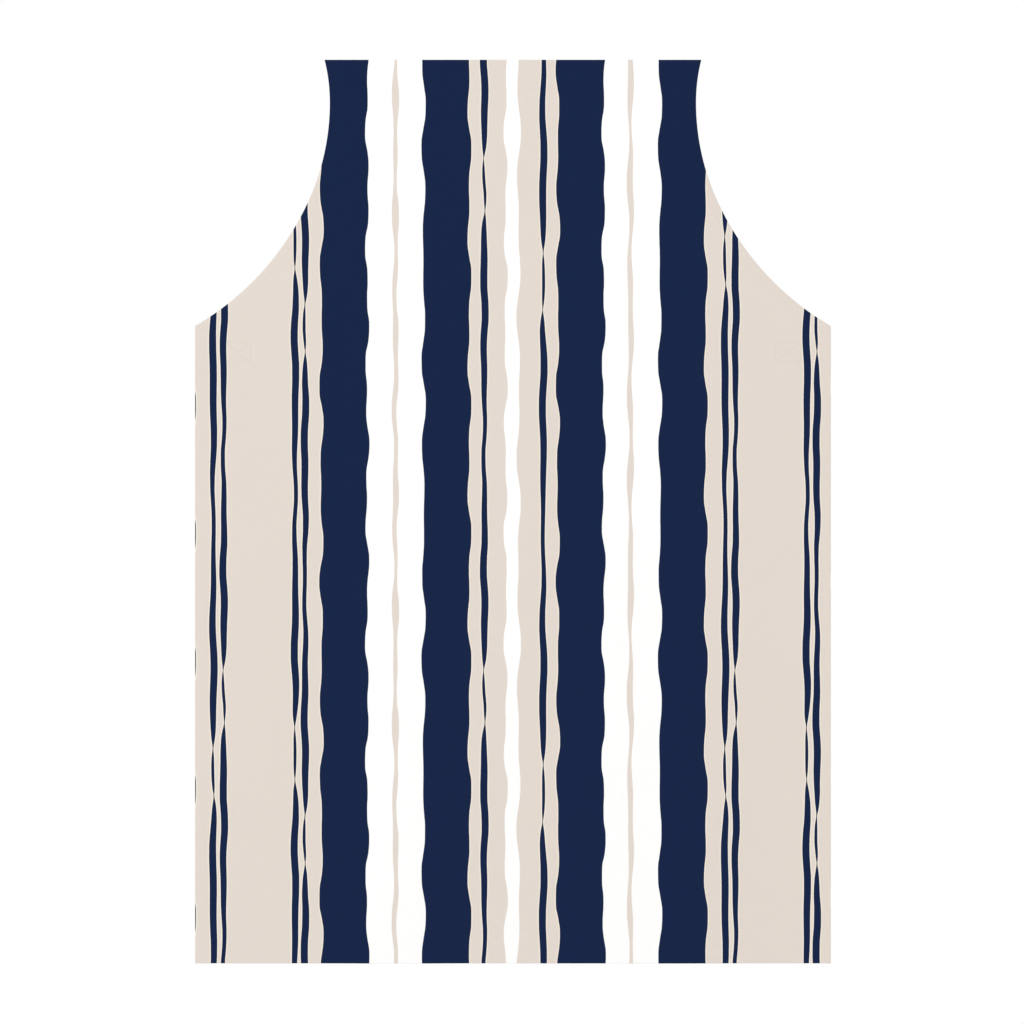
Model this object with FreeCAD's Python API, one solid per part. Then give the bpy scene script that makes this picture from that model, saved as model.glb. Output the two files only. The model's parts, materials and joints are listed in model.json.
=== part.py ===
"""Bib apron of the butcher's kind: a hemmed panel of cloth, an adjustable neck strap and two waist ties.

Frame: millimetres, +Z up, printed face towards -Y. The origin is the middle of the bib's top edge, on the printed
face. The apron hangs straight down from that edge, and everything sewn on lies behind it, towards +Y.
"""
import FreeCAD
import Part

import math
import os

V = FreeCAD.Vector
ACROSS = V(1, 0, 0)
BACK = V(0, 1, 0)

# ---- driving dimensions of the cloth ----
WIDTH = 610.0
LENGTH = 867.0
CLOTH = 0.6

# The armhole is three tangent arcs, from the top edge down to the side edge.
BIB_HALF = 175.7            # half the width where the bib is narrowest
BIB_NARROW_DEPTH = 41.0     # how far that is below the top edge
ARMHOLE_TOP_RADIUS = 168.0
ARMHOLE_MID_RADIUS = 228.0
ARMHOLE_MID_TURN = math.radians(25.0)
ARMHOLE_LOW_RADIUS = 267.0

# ---- hems and facings: two more layers of cloth behind the body ----
TOP_HEM = 30.0
BOTTOM_HEM = 20.0
SIDE_HEM = 12.0
FACING = 10.0               # width of the strip that faces the back of each armhole
HEM_BACK = 3 * CLOTH
THREAD_WIDTH = 0.6
THREAD_HEIGHT = 0.25
SEAM_IN = 2.5               # a seam's distance from the inner edge of its hem
SEAM_GAP = 1.0              # between a seam's end and the edge or seam that it stops at

# ---- webbing ----
WEB = 25.0
WEB_THICK = 1.4
SEWN_Y = HEM_BACK + 0.3 + WEB_THICK / 2        # middle of a sewn end's thickness
FOLD_RADIUS = 1.6                              # of the webbing's mid-line where it folds back on itself
HANG_Y = SEWN_Y + 2 * FOLD_RADIUS              # middle of a hanging end's thickness
PIVOT_Y = SEWN_Y + FOLD_RADIUS + 0.15          # fold axis, set back so that a raised strap clears the hem
PLY_GAP = WEB_THICK + 0.05                     # between the middles of two plies sewn together
STEP = math.radians(15.0)                      # arcs of webbing are lofted in steps of this turn

# ---- neck strap, at rest behind the bib ----
NECK_HALF = 150.0                              # from the middle to each strap's centre
NECK_PIVOT_Z = -(FOLD_RADIUS + WEB_THICK / 2 + 0.2)
NECK_SEWN_LOW = -26.0
NECK_STRAIGHT_LOW = -130.0                     # the strap hangs straight to here, then turns into the loop
NECK_LOOP_DROP = 130.0
LOOP_Y = 14.6                                  # middle of the webbing's width where the loop stands on edge
TWIST_SHARE = 0.27                             # the share of the loop at each side in which the webbing twists
LOOP_STEPS = 48

# ---- ring and slider on the left strap ----
WIRE = 1.25                                    # wire radius
WRAP = WIRE + 0.1 + WEB_THICK / 2              # radius of the webbing's mid-line round a wire
RING_Y = HANG_Y + WRAP
RING_TOP_Z = -20.0
RING_LOW_Z = -31.0
RING_HALF = WEB / 2 + 3.0
RING_CORNER = 3.0
TAB_RETURN_TOP = -7.0
TAB_LEAN = math.radians(18.0)                  # how far past straight up the tab's return ply leaves the wire
SLIDER_Z = -66.0
SLIDER_BAR_Y = HANG_Y + WEB_THICK + 0.3 + WRAP
SLIDER_HALF_HEIGHT = 10.0
SLIDER_INNER_HALF = WEB / 2 + 0.5
SLIDER_WALL = 2.2
SLIDER_CORNER = 3.0
SLIDER_RAIL = 2.6                              # height of the slider's top and bottom rails
SLIDER_BACK = HANG_Y - WEB_THICK / 2 - 0.3
SLIDER_FRONT = SLIDER_BACK - 1.8
SLIDER_EAR = 7.0                               # half the height of an ear where it leaves the frame
SLIDER_EYE = 2.6                               # radius of an ear's end, round the bar
SLIDER_EDGE = 0.5                              # rounding of the frame's edges
BAR_SEAT = 0.5                                 # how far the bar's ends go into the ears
END_LOOP_TOP = SLIDER_Z + 14.0
END_LOOP_REAR_LEAN = math.radians(12.0)
END_LOOP_FRONT_LEAN = math.radians(172.0)
END_LOOP_TUCK = 1.5                            # how much lower the end loop's front ply stops
TACK_HEIGHT = 2.0
TACK_BELOW = 4.0                               # from the top of a sewn-down ply to its tack's lower edge
TACK_HALF = WEB / 2 - 2.0

# ---- waist ties ----
TIE_EDGE_GAP = 3.0                             # from the side edge to the hanging tie
TIE_DEPTH = 268.0
TIE_SEWN = 28.0
TIE_HANG = 540.0
TIE_END_FOLD = 15.0
PATCH_WIDTH = 46.0
PATCH_MARGIN = 6.0
BOX_IN = 3.0                                   # from a sewn end's edges to its box of stitches
CREASE_IN = 1.0                                # from the crease's inner end to the box of stitches

# ---- care label, hanging from the top hem's lower edge ----
LABEL_WIDTH = 35.0
LABEL_LENGTH = 50.0
LABEL_THICK = 0.3
LABEL_LEFT = 30.0
LABEL_Y = HEM_BACK + 0.25
LABEL_TOP = -TOP_HEM - 0.5

NODES = {}


# ---- shapes ----
def slab(face, y_front, y_back):
    """A flat face in the plane y = 0, given thickness from y_front to y_back."""
    lifted = face.copy()
    lifted.translate(BACK * y_front)
    return lifted.extrude(BACK * (y_back - y_front))


def flat_polygon(corners):
    """A face in the plane y = 0 through (x, z) corners."""
    points = [V(x, 0, z) for x, z in corners]
    return Part.Face(Part.makePolygon(points + points[:1]))


def rectangle(x_low, z_low, x_high, z_high):
    return flat_polygon([(x_low, z_low), (x_high, z_low), (x_high, z_high), (x_low, z_high)])


def mirrored(shape):
    return shape.mirror(V(0, 0, 0), ACROSS)


def ribbon(stations):
    """Webbing lofted through stations, each (middle, direction across its width, direction of its thickness)."""
    wires = []
    for middle, across, through in stations:
        w, t = across * (WEB / 2), through * (WEB_THICK / 2)
        corners = [middle - w - t, middle + w - t, middle + w + t, middle - w + t]
        wires.append(Part.makePolygon(corners + corners[:1]))
    return Part.makeLoft(wires, True, True)


def strap_section(x_middle, y, z, turned):
    """A station of a strap that runs in the plane x = x_middle, its thickness along +Y turned about +X."""
    through = V(0, math.cos(turned), math.sin(turned))
    return V(x_middle, y, z), ACROSS, through


def arc_sections(x_middle, y, z, radius, start, turn):
    """Stations round an arc centred on (y, z). Angles run from +Y towards +Z."""
    count = max(1, round(abs(turn) / STEP))
    made = []
    for i in range(count + 1):
        angle = start + turn * i / count
        made.append(strap_section(x_middle, y + radius * math.cos(angle), z + radius * math.sin(angle), angle))
    return made


# ---- the cloth's outline ----
def armhole_arcs(inset):
    """The right armhole at an inset from the cut edge, as (centre x, centre z, radius, first, last angle)."""
    x1, z1, r1 = BIB_HALF + ARMHOLE_TOP_RADIUS, -BIB_NARROW_DEPTH, ARMHOLE_TOP_RADIUS + inset
    x2, r2 = BIB_HALF + ARMHOLE_MID_RADIUS, ARMHOLE_MID_RADIUS + inset
    shift = ARMHOLE_LOW_RADIUS - ARMHOLE_MID_RADIUS
    x3 = x2 + shift * math.cos(ARMHOLE_MID_TURN)
    z3 = z1 + shift * math.sin(ARMHOLE_MID_TURN)
    r3 = ARMHOLE_LOW_RADIUS + inset
    top = math.pi - math.asin(BIB_NARROW_DEPTH / r1)
    turned = math.pi + ARMHOLE_MID_TURN
    low = math.pi + math.acos((x3 - WIDTH / 2) / r3)
    return [(x1, z1, r1, top, math.pi), (x2, z1, r2, math.pi, turned), (x3, z3, r3, turned, low)]


def armhole_edges(inset):
    """The arcs as edges from the top edge down, and the points where they start and end."""
    edges, ends = [], []
    for x, z, radius, first, last in armhole_arcs(inset):
        at = [V(x + radius * math.cos(a), 0, z + radius * math.sin(a)) for a in (first, (first + last) / 2, last)]
        edges.append(Part.Arc(*at).toShape())
        ends += [at[0], at[2]]
    return edges, ends[0], ends[-1]


def cloth_face(inset):
    """The body's face, with both armholes cut this much further in."""
    right, top, low = armhole_edges(inset)
    left = [mirrored(e) for e in right]
    corners = [V(low.x, 0, low.z), V(low.x, 0, -LENGTH), V(-low.x, 0, -LENGTH), V(-low.x, 0, low.z)]
    straight = [Part.LineSegment(a, b).toShape() for a, b in zip(corners, corners[1:])]
    across_top = Part.LineSegment(V(-top.x, 0, top.z), V(top.x, 0, top.z)).toShape()
    edges = [across_top] + right + straight + left
    return Part.Face(Part.Wire(Part.__sortEdges__(edges)))


# ---- body, hems, binding and their seams ----
def make_cloth():
    body, inner = cloth_face(0.0), cloth_face(FACING)
    half = WIDTH / 2
    NODES["body_cloth"] = slab(body, 0, CLOTH)
    top = inner.common(rectangle(-half, -TOP_HEM, half, 1))
    side = inner.common(rectangle(half - SIDE_HEM, -LENGTH + BOTTOM_HEM, half, -TOP_HEM))
    bound = body.cut(inner).common(rectangle(0, -LENGTH / 2, half + 1, 1))
    NODES["top_hem"] = slab(top, CLOTH, HEM_BACK)
    NODES["bottom_hem"] = slab(rectangle(-half, -LENGTH, half, -LENGTH + BOTTOM_HEM), CLOTH, HEM_BACK)
    NODES["side_hem_right"] = slab(side, CLOTH, HEM_BACK)
    NODES["side_hem_left"] = mirrored(NODES["side_hem_right"])
    NODES["armhole_facing_right"] = slab(bound, CLOTH, HEM_BACK)
    NODES["armhole_facing_left"] = mirrored(NODES["armhole_facing_right"])


def thread_line(x_low, z_low, x_high, z_high):
    return slab(rectangle(x_low, z_low, x_high, z_high), HEM_BACK, HEM_BACK + THREAD_HEIGHT)


def make_seams():
    half = WIDTH / 2
    t = THREAD_WIDTH / 2
    top = -TOP_HEM + SEAM_IN
    low = -LENGTH + BOTTOM_HEM - SEAM_IN
    side = half - SIDE_HEM + SEAM_IN
    bib_end = BIB_HALF - FACING - SEAM_GAP
    NODES["top_hem_seam"] = thread_line(-bib_end, top - t, bib_end, top + t)
    NODES["bottom_hem_seam"] = thread_line(-half + SEAM_GAP, low - t, half - SEAM_GAP, low + t)
    NODES["side_hem_seam_right"] = thread_line(side - t, low + t + SEAM_GAP, side + t, -TIE_DEPTH - SEAM_GAP)
    NODES["side_hem_seam_left"] = mirrored(NODES["side_hem_seam_right"])
    outer, inner = cloth_face(FACING - SEAM_IN - t), cloth_face(FACING - SEAM_IN + t)
    strip = outer.cut(inner).common(rectangle(0, -TIE_DEPTH, half - SEAM_GAP, -SEAM_GAP))
    NODES["armhole_seam_right"] = slab(strip, HEM_BACK, HEM_BACK + THREAD_HEIGHT)
    NODES["armhole_seam_left"] = mirrored(NODES["armhole_seam_right"])


# ---- neck strap ----
def sewn_neck_end(x_middle):
    face = rectangle(x_middle - WEB / 2, NECK_SEWN_LOW, x_middle + WEB / 2, NECK_PIVOT_Z)
    return slab(face, SEWN_Y - WEB_THICK / 2, SEWN_Y + WEB_THICK / 2)


def neck_fold(x_middle):
    """The half turn at the top edge, from the sewn end back and over to the hanging end."""
    return ribbon(arc_sections(x_middle, SEWN_Y + FOLD_RADIUS, NECK_PIVOT_Z, FOLD_RADIUS, math.pi, -math.pi))


def loop_section(share):
    """The hanging loop at a share of its way from left to right. It stands on edge in the middle."""
    angle = math.pi * share
    along = V(NECK_HALF * math.sin(angle), 0, -NECK_LOOP_DROP * math.cos(angle)).normalize()
    near_side = min(1.0, share / TWIST_SHARE, (1 - share) / TWIST_SHARE)
    twist = math.pi / 2 * near_side ** 2 * (3 - 2 * near_side)
    y = HANG_Y + (LOOP_Y - HANG_Y) * math.sin(twist)
    middle = V(-NECK_HALF * math.cos(angle), y, NECK_STRAIGHT_LOW - NECK_LOOP_DROP * math.sin(angle))
    across = along.cross(BACK) * math.cos(twist) + BACK * math.sin(twist)
    return middle, across, along.cross(across)


def long_strap():
    """From the top of its turn over the ring's lower bar, down, round the loop and up to the right fold."""
    turn = arc_sections(-NECK_HALF, RING_Y, RING_LOW_Z, WRAP, 0, math.pi)
    loop = [loop_section(i / LOOP_STEPS) for i in range(LOOP_STEPS + 1)]
    top = (V(NECK_HALF, HANG_Y, NECK_PIVOT_Z), ACROSS * -1, BACK * -1)
    return ribbon(turn + loop + [top])


def lean_height(y_centre, z_centre, angle, y):
    """Where webbing that leaves a wire at this angle reaches y."""
    return z_centre + (WRAP - (y - y_centre) * math.cos(angle)) / math.sin(angle)


def neck_tab():
    """The short left strap: down from its fold, round the ring's upper bar, and back up to lie on itself."""
    x, full, y_return = -NECK_HALF, 2 * math.pi, HANG_Y + PLY_GAP
    z_meet = lean_height(RING_Y, RING_TOP_Z, TAB_LEAN, y_return)
    top = strap_section(x, HANG_Y, NECK_PIVOT_Z, math.pi)
    turn = arc_sections(x, RING_Y, RING_TOP_Z, WRAP, math.pi, math.pi + TAB_LEAN)
    meet = strap_section(x, y_return, z_meet, full + TAB_LEAN / 2)
    return ribbon([top] + turn + [meet, strap_section(x, y_return, TAB_RETURN_TOP, full)])


def return_ply():
    """The long strap's end, behind itself, from the ring down to the loop on the slider's bar."""
    y = RING_Y + WRAP
    face = rectangle(-NECK_HALF - WEB / 2, END_LOOP_TOP, -NECK_HALF + WEB / 2, RING_LOW_Z)
    return slab(face, y - WEB_THICK / 2, y + WEB_THICK / 2)


def end_loop():
    """The last of the long strap, round the slider's bar and sewn to itself above it."""
    x, rear, front = -NECK_HALF, RING_Y + WRAP, RING_Y + WRAP - PLY_GAP
    rear_z = lean_height(SLIDER_BAR_Y, SLIDER_Z, END_LOOP_REAR_LEAN, rear)
    front_z = lean_height(SLIDER_BAR_Y, SLIDER_Z, END_LOOP_FRONT_LEAN, front)
    past_half = math.pi - END_LOOP_FRONT_LEAN
    turn = -(END_LOOP_REAR_LEAN + math.pi + past_half)
    down = [strap_section(x, rear, END_LOOP_TOP, 0), strap_section(x, rear, rear_z, END_LOOP_REAR_LEAN / 2)]
    bend = arc_sections(x, SLIDER_BAR_Y, SLIDER_Z, WRAP, END_LOOP_REAR_LEAN, turn)
    up = [strap_section(x, front, front_z, -math.pi - past_half / 2)]
    return ribbon(down + bend + up + [strap_section(x, front, END_LOOP_TOP - END_LOOP_TUCK, -math.pi)])


def rounded_rectangle(x_half, z_half, corner):
    """The closed wire of a rectangle about the origin with round corners, in the plane y = 0."""
    edges = []
    turns = [(1, 1, 0), (-1, 1, 1), (-1, -1, 2), (1, -1, 3)]
    ends = []
    for side, up, quarter in turns:
        centre = V(side * (x_half - corner), 0, up * (z_half - corner))
        angles = [math.pi / 2 * (quarter + k / 2) for k in range(3)]
        at = [centre + V(corner * math.cos(a), 0, corner * math.sin(a)) for a in angles]
        edges.append(Part.Arc(*at).toShape())
        ends.append((at[0], at[2]))
    for here, there in zip(ends, ends[1:] + ends[:1]):
        edges.append(Part.LineSegment(here[1], there[0]).toShape())
    return Part.Wire(Part.__sortEdges__(edges))


def ring():
    z_half = (RING_TOP_Z - RING_LOW_Z) / 2
    path = rounded_rectangle(RING_HALF, z_half, RING_CORNER)
    start = path.OrderedEdges[0]
    at, along = start.valueAt(start.FirstParameter), start.tangentAt(start.FirstParameter)
    swept = path.makePipeShell([Part.Wire(Part.makeCircle(WIRE, at, along))], True, True)
    swept.translate(V(-NECK_HALF, RING_Y, (RING_TOP_Z + RING_LOW_Z) / 2))
    return swept


def slider():
    """A flat frame in front of the strap, and two ears that hold a bar behind it."""
    outer_half = SLIDER_INNER_HALF + SLIDER_WALL
    outer = Part.Face(rounded_rectangle(outer_half, SLIDER_HALF_HEIGHT, SLIDER_CORNER))
    window = Part.Face(rounded_rectangle(SLIDER_INNER_HALF, SLIDER_HALF_HEIGHT - SLIDER_RAIL, SLIDER_CORNER / 3))
    plate = slab(outer.cut(window), SLIDER_FRONT, SLIDER_BACK)
    rims = [e for e in plate.Edges if e.BoundBox.YLength < SLIDER_EDGE]
    frame = plate.makeFillet(SLIDER_EDGE, rims)
    ears = []
    root = (SLIDER_FRONT + SLIDER_BACK) / 2
    for x in (-outer_half, SLIDER_INNER_HALF):
        corners = [(root, -SLIDER_EAR), (SLIDER_BAR_Y, -SLIDER_EYE), (SLIDER_BAR_Y, SLIDER_EYE), (root, SLIDER_EAR)]
        points = [V(x, y, z) for y, z in corners]
        web = Part.Face(Part.makePolygon(points + points[:1])).extrude(ACROSS * SLIDER_WALL)
        ears += [web, Part.makeCylinder(SLIDER_EYE, SLIDER_WALL, V(x, SLIDER_BAR_Y, 0), ACROSS)]
    bar_half = SLIDER_INNER_HALF + BAR_SEAT
    bar = Part.makeCylinder(WIRE, 2 * bar_half, V(-bar_half, SLIDER_BAR_Y, 0), ACROSS)
    whole = frame.multiFuse(ears + [bar]).removeSplitter()
    whole.translate(V(-NECK_HALF, 0, SLIDER_Z))
    return whole


def tack(x_middle, z_low, y):
    """A dense row of stitches across the webbing, standing on the surface at y."""
    face = rectangle(x_middle - TACK_HALF, z_low, x_middle + TACK_HALF, z_low + TACK_HEIGHT)
    return slab(face, y, y + THREAD_HEIGHT)


def make_neck_strap():
    right, left = NECK_HALF, -NECK_HALF
    NODES["neck_strap_sewn_end"] = sewn_neck_end(right)
    NODES["neck_tab_sewn_end"] = sewn_neck_end(left)
    NODES["neck_strap_fold"] = neck_fold(right)
    NODES["neck_tab_fold"] = neck_fold(left)
    NODES["neck_strap"] = long_strap()
    NODES["neck_tab"] = neck_tab()
    NODES["neck_ring"] = ring()
    NODES["neck_slider"] = slider()
    NODES["neck_strap_return_ply"] = return_ply()
    NODES["neck_strap_end_loop"] = end_loop()
    NODES["neck_tab_tack"] = tack(left, TAB_RETURN_TOP - TACK_BELOW, HANG_Y + PLY_GAP + WEB_THICK / 2)
    NODES["end_loop_tack"] = tack(left, END_LOOP_TOP - TACK_BELOW, RING_Y + WRAP + WEB_THICK / 2)


# ---- waist ties ----
def make_waist_ties():
    x_out = WIDTH / 2 - TIE_EDGE_GAP
    x_in = x_out - WEB
    z_top, z_low = -TIE_DEPTH, -TIE_DEPTH - WEB
    z_end = (z_top + z_low) / 2 - TIE_HANG
    sewn = flat_polygon([(x_in - TIE_SEWN, z_top), (x_in, z_top), (x_out, z_low), (x_in - TIE_SEWN, z_low)])
    hanging = flat_polygon([(x_in, z_top), (x_out, z_low), (x_out, z_end), (x_in, z_end)])
    end_fold = rectangle(x_in, z_end, x_out, z_end + TIE_END_FOLD)
    x_patch = WIDTH / 2 - SIDE_HEM
    patch = rectangle(x_patch - PATCH_WIDTH, z_low - PATCH_MARGIN, x_patch, z_top + PATCH_MARGIN)

    crease = V((x_in + x_out) / 2, SEWN_Y + FOLD_RADIUS, (z_top + z_low) / 2)
    along_crease = V(1, 0, -1)                  # as long as the webbing is wide, measured along the slant
    outwards = V(1, 0, 1).normalize()
    stations = []
    for i in range(round(math.pi / STEP) + 1):
        around = outwards * math.sin(STEP * i) - BACK * math.cos(STEP * i)
        stations.append((crease + around * FOLD_RADIUS, along_crease, around))

    half = WEB_THICK / 2
    right = {
        "waist_patch": slab(patch, CLOTH, HEM_BACK),
        "waist_tie_sewn_end": slab(sewn, SEWN_Y - half, SEWN_Y + half),
        "waist_tie_fold": ribbon(stations),
        "waist_tie": slab(hanging, HANG_Y - half, HANG_Y + half),
        "waist_tie_end_hem": slab(end_fold, HANG_Y + half, HANG_Y + half + WEB_THICK),
    }
    for name, shape in right.items():
        NODES[name + "_right"] = shape
        NODES[name + "_left"] = mirrored(shape)


def box_of_stitches(x_low, z_low, x_high, z_high):
    """A box with a cross in it, as one flat solid on a sewn end's back."""
    t = THREAD_WIDTH / 2
    outer = rectangle(x_low, z_low, x_high, z_high)
    inner = rectangle(x_low + 2 * t, z_low + 2 * t, x_high - 2 * t, z_high - 2 * t)
    low, high = (x_low + t, z_low + t), (x_high - t, z_high - t)
    rising = flat_polygon([low, (low[0] + t, low[1]), high, (high[0] - t, high[1])])
    falling = flat_polygon([(low[0], high[1]), (low[0] + t, high[1]), (high[0], low[1]), (high[0] - t, low[1])])
    y = SEWN_Y + WEB_THICK / 2
    frame, *cross = [slab(flat, y, y + THREAD_HEIGHT) for flat in (outer.cut(inner), rising, falling)]
    return frame.multiFuse(cross).removeSplitter()


def make_box_stitching():
    reach = WEB / 2 - BOX_IN
    neck = (NECK_HALF - reach, NECK_SEWN_LOW + BOX_IN, NECK_HALF + reach, NECK_PIVOT_Z - BOX_IN)
    x_in = WIDTH / 2 - TIE_EDGE_GAP - WEB
    waist = (x_in - TIE_SEWN + BOX_IN, -TIE_DEPTH - WEB + BOX_IN, x_in - CREASE_IN, -TIE_DEPTH - BOX_IN)
    boxes = [box_of_stitches(*neck), box_of_stitches(*waist)]
    NODES["box_stitching"] = Part.makeCompound(boxes + [mirrored(b) for b in boxes])


# ---- care label ----
def make_care_label():
    face = rectangle(LABEL_LEFT, LABEL_TOP - LABEL_LENGTH, LABEL_LEFT + LABEL_WIDTH, LABEL_TOP)
    NODES["care_label"] = slab(face, LABEL_Y - LABEL_THICK / 2, LABEL_Y + LABEL_THICK / 2)


for build in (make_cloth, make_seams, make_neck_strap, make_waist_ties, make_box_stitching, make_care_label):
    build()

os.makedirs("parts", exist_ok=True)
for node, shape in NODES.items():
    shape.exportStep(f"parts/{node}.step")
    print(node, shape.isValid(), round(shape.Volume), len(shape.Solids))
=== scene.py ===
"""Looks of the butcher's apron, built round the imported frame. Metres, +Z up, printed face towards -Y.

The panel, hems, webbing and label are thin closed meshes with a slight hang of their own. The print and the
weaves are procedural materials that read the cloth's own coordinates, in metres, from a UV map.
"""

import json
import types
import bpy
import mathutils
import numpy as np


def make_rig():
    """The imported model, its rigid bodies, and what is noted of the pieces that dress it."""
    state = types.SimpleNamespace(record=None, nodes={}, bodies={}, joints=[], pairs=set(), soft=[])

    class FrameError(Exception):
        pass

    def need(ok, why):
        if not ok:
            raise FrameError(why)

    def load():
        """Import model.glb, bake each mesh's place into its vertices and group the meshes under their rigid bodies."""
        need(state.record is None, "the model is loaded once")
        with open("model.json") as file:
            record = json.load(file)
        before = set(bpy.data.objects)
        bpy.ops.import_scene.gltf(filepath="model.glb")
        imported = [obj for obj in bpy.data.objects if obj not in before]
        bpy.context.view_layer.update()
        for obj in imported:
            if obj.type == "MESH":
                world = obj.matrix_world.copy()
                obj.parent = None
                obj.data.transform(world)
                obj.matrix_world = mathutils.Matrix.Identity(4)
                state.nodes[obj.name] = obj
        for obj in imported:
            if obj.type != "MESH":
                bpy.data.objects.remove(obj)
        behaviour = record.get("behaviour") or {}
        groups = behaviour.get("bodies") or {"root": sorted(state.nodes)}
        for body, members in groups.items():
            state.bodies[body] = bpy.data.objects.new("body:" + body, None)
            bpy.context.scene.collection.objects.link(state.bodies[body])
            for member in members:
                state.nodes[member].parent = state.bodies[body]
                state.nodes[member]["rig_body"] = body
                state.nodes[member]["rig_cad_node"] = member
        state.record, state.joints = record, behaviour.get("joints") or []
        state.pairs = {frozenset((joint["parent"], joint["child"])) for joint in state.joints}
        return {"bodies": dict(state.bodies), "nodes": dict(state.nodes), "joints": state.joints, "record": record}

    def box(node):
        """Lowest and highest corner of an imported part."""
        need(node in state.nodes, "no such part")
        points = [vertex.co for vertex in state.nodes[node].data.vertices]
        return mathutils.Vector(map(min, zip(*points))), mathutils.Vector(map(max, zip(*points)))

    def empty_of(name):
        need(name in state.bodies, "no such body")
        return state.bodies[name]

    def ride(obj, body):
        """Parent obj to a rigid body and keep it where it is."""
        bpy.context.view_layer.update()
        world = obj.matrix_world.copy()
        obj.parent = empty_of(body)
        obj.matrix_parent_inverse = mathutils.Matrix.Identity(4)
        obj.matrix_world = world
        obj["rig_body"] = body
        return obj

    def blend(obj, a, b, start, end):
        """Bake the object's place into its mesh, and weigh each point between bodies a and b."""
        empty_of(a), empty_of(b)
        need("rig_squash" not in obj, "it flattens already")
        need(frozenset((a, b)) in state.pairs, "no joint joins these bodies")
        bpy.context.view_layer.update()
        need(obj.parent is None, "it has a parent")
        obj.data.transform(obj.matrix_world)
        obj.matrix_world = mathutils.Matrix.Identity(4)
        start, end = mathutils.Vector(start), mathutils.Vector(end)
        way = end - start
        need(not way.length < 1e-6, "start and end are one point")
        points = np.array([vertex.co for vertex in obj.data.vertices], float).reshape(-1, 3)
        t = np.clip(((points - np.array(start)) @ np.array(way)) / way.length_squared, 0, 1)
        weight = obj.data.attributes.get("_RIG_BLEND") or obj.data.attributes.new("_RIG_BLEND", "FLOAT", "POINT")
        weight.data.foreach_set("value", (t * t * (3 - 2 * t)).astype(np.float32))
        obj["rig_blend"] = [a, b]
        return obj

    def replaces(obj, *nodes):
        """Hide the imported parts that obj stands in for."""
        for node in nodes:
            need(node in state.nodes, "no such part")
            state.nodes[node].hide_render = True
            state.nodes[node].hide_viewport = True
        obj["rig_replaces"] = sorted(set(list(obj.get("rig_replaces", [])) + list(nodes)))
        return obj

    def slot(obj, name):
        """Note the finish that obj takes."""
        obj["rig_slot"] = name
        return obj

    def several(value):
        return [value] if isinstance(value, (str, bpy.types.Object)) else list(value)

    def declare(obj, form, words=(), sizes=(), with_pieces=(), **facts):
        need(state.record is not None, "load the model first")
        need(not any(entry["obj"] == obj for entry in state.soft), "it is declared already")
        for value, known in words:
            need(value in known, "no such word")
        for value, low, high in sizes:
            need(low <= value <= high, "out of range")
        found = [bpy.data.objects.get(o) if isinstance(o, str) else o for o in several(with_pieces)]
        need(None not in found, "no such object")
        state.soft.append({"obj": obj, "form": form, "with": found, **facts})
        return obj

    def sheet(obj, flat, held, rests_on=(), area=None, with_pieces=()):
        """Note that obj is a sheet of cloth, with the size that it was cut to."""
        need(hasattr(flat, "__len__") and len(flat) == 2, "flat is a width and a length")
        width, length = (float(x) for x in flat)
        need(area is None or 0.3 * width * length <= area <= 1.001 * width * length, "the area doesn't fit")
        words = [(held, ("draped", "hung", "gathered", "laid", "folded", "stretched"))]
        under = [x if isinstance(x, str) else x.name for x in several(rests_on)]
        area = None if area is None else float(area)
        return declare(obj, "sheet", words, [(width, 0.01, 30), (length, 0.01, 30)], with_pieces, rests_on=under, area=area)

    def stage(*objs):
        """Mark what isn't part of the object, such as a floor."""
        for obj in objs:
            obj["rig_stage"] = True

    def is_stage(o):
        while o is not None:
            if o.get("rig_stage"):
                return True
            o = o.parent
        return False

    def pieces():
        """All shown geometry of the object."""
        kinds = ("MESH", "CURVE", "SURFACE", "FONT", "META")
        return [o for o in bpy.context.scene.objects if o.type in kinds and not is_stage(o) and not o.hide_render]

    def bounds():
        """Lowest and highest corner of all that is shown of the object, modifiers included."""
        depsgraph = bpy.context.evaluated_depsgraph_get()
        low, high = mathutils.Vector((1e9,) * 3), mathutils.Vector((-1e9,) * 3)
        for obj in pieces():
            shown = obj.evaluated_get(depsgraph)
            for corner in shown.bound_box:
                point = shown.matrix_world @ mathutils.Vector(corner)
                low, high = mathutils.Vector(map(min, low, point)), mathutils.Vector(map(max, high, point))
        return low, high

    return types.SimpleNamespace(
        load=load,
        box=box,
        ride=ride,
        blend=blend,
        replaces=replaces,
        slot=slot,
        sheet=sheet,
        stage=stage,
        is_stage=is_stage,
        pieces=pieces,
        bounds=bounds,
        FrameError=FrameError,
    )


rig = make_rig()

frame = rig.load()
cad_low, cad_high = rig.bounds()

import json
import math

import bpy
import numpy as np
from mathutils import Vector

MM = 0.001
SIDES = (("right", 1), ("left", -1))

# ---- places and sizes, from the frame ----
PANEL_LOW, PANEL_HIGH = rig.box("body_cloth")
HALF = PANEL_HIGH.x
LENGTH = PANEL_HIGH.z - PANEL_LOW.z
CLOTH = PANEL_HIGH.y
HEM_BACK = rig.box("bottom_hem")[1].y
TOP_HEM_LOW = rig.box("top_hem")[0].z
BOTTOM_HEM_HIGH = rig.box("bottom_hem")[1].z
SIDE_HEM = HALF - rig.box("side_hem_right")[0].x
SIDE_HEM_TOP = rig.box("side_hem_right")[1].z

# ---- the armhole, as the frame's outline has it ----
BIB_HALF = 175.7 * MM
BIB_NARROW_Z = -41.0 * MM
ARMHOLE_TOP_RADIUS = 168.0 * MM
ARMHOLE_MID_RADIUS = 228.0 * MM
ARMHOLE_LOW_RADIUS = 267.0 * MM
ARMHOLE_MID_TURN = math.radians(25.0)
FACING = 10.0 * MM

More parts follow.
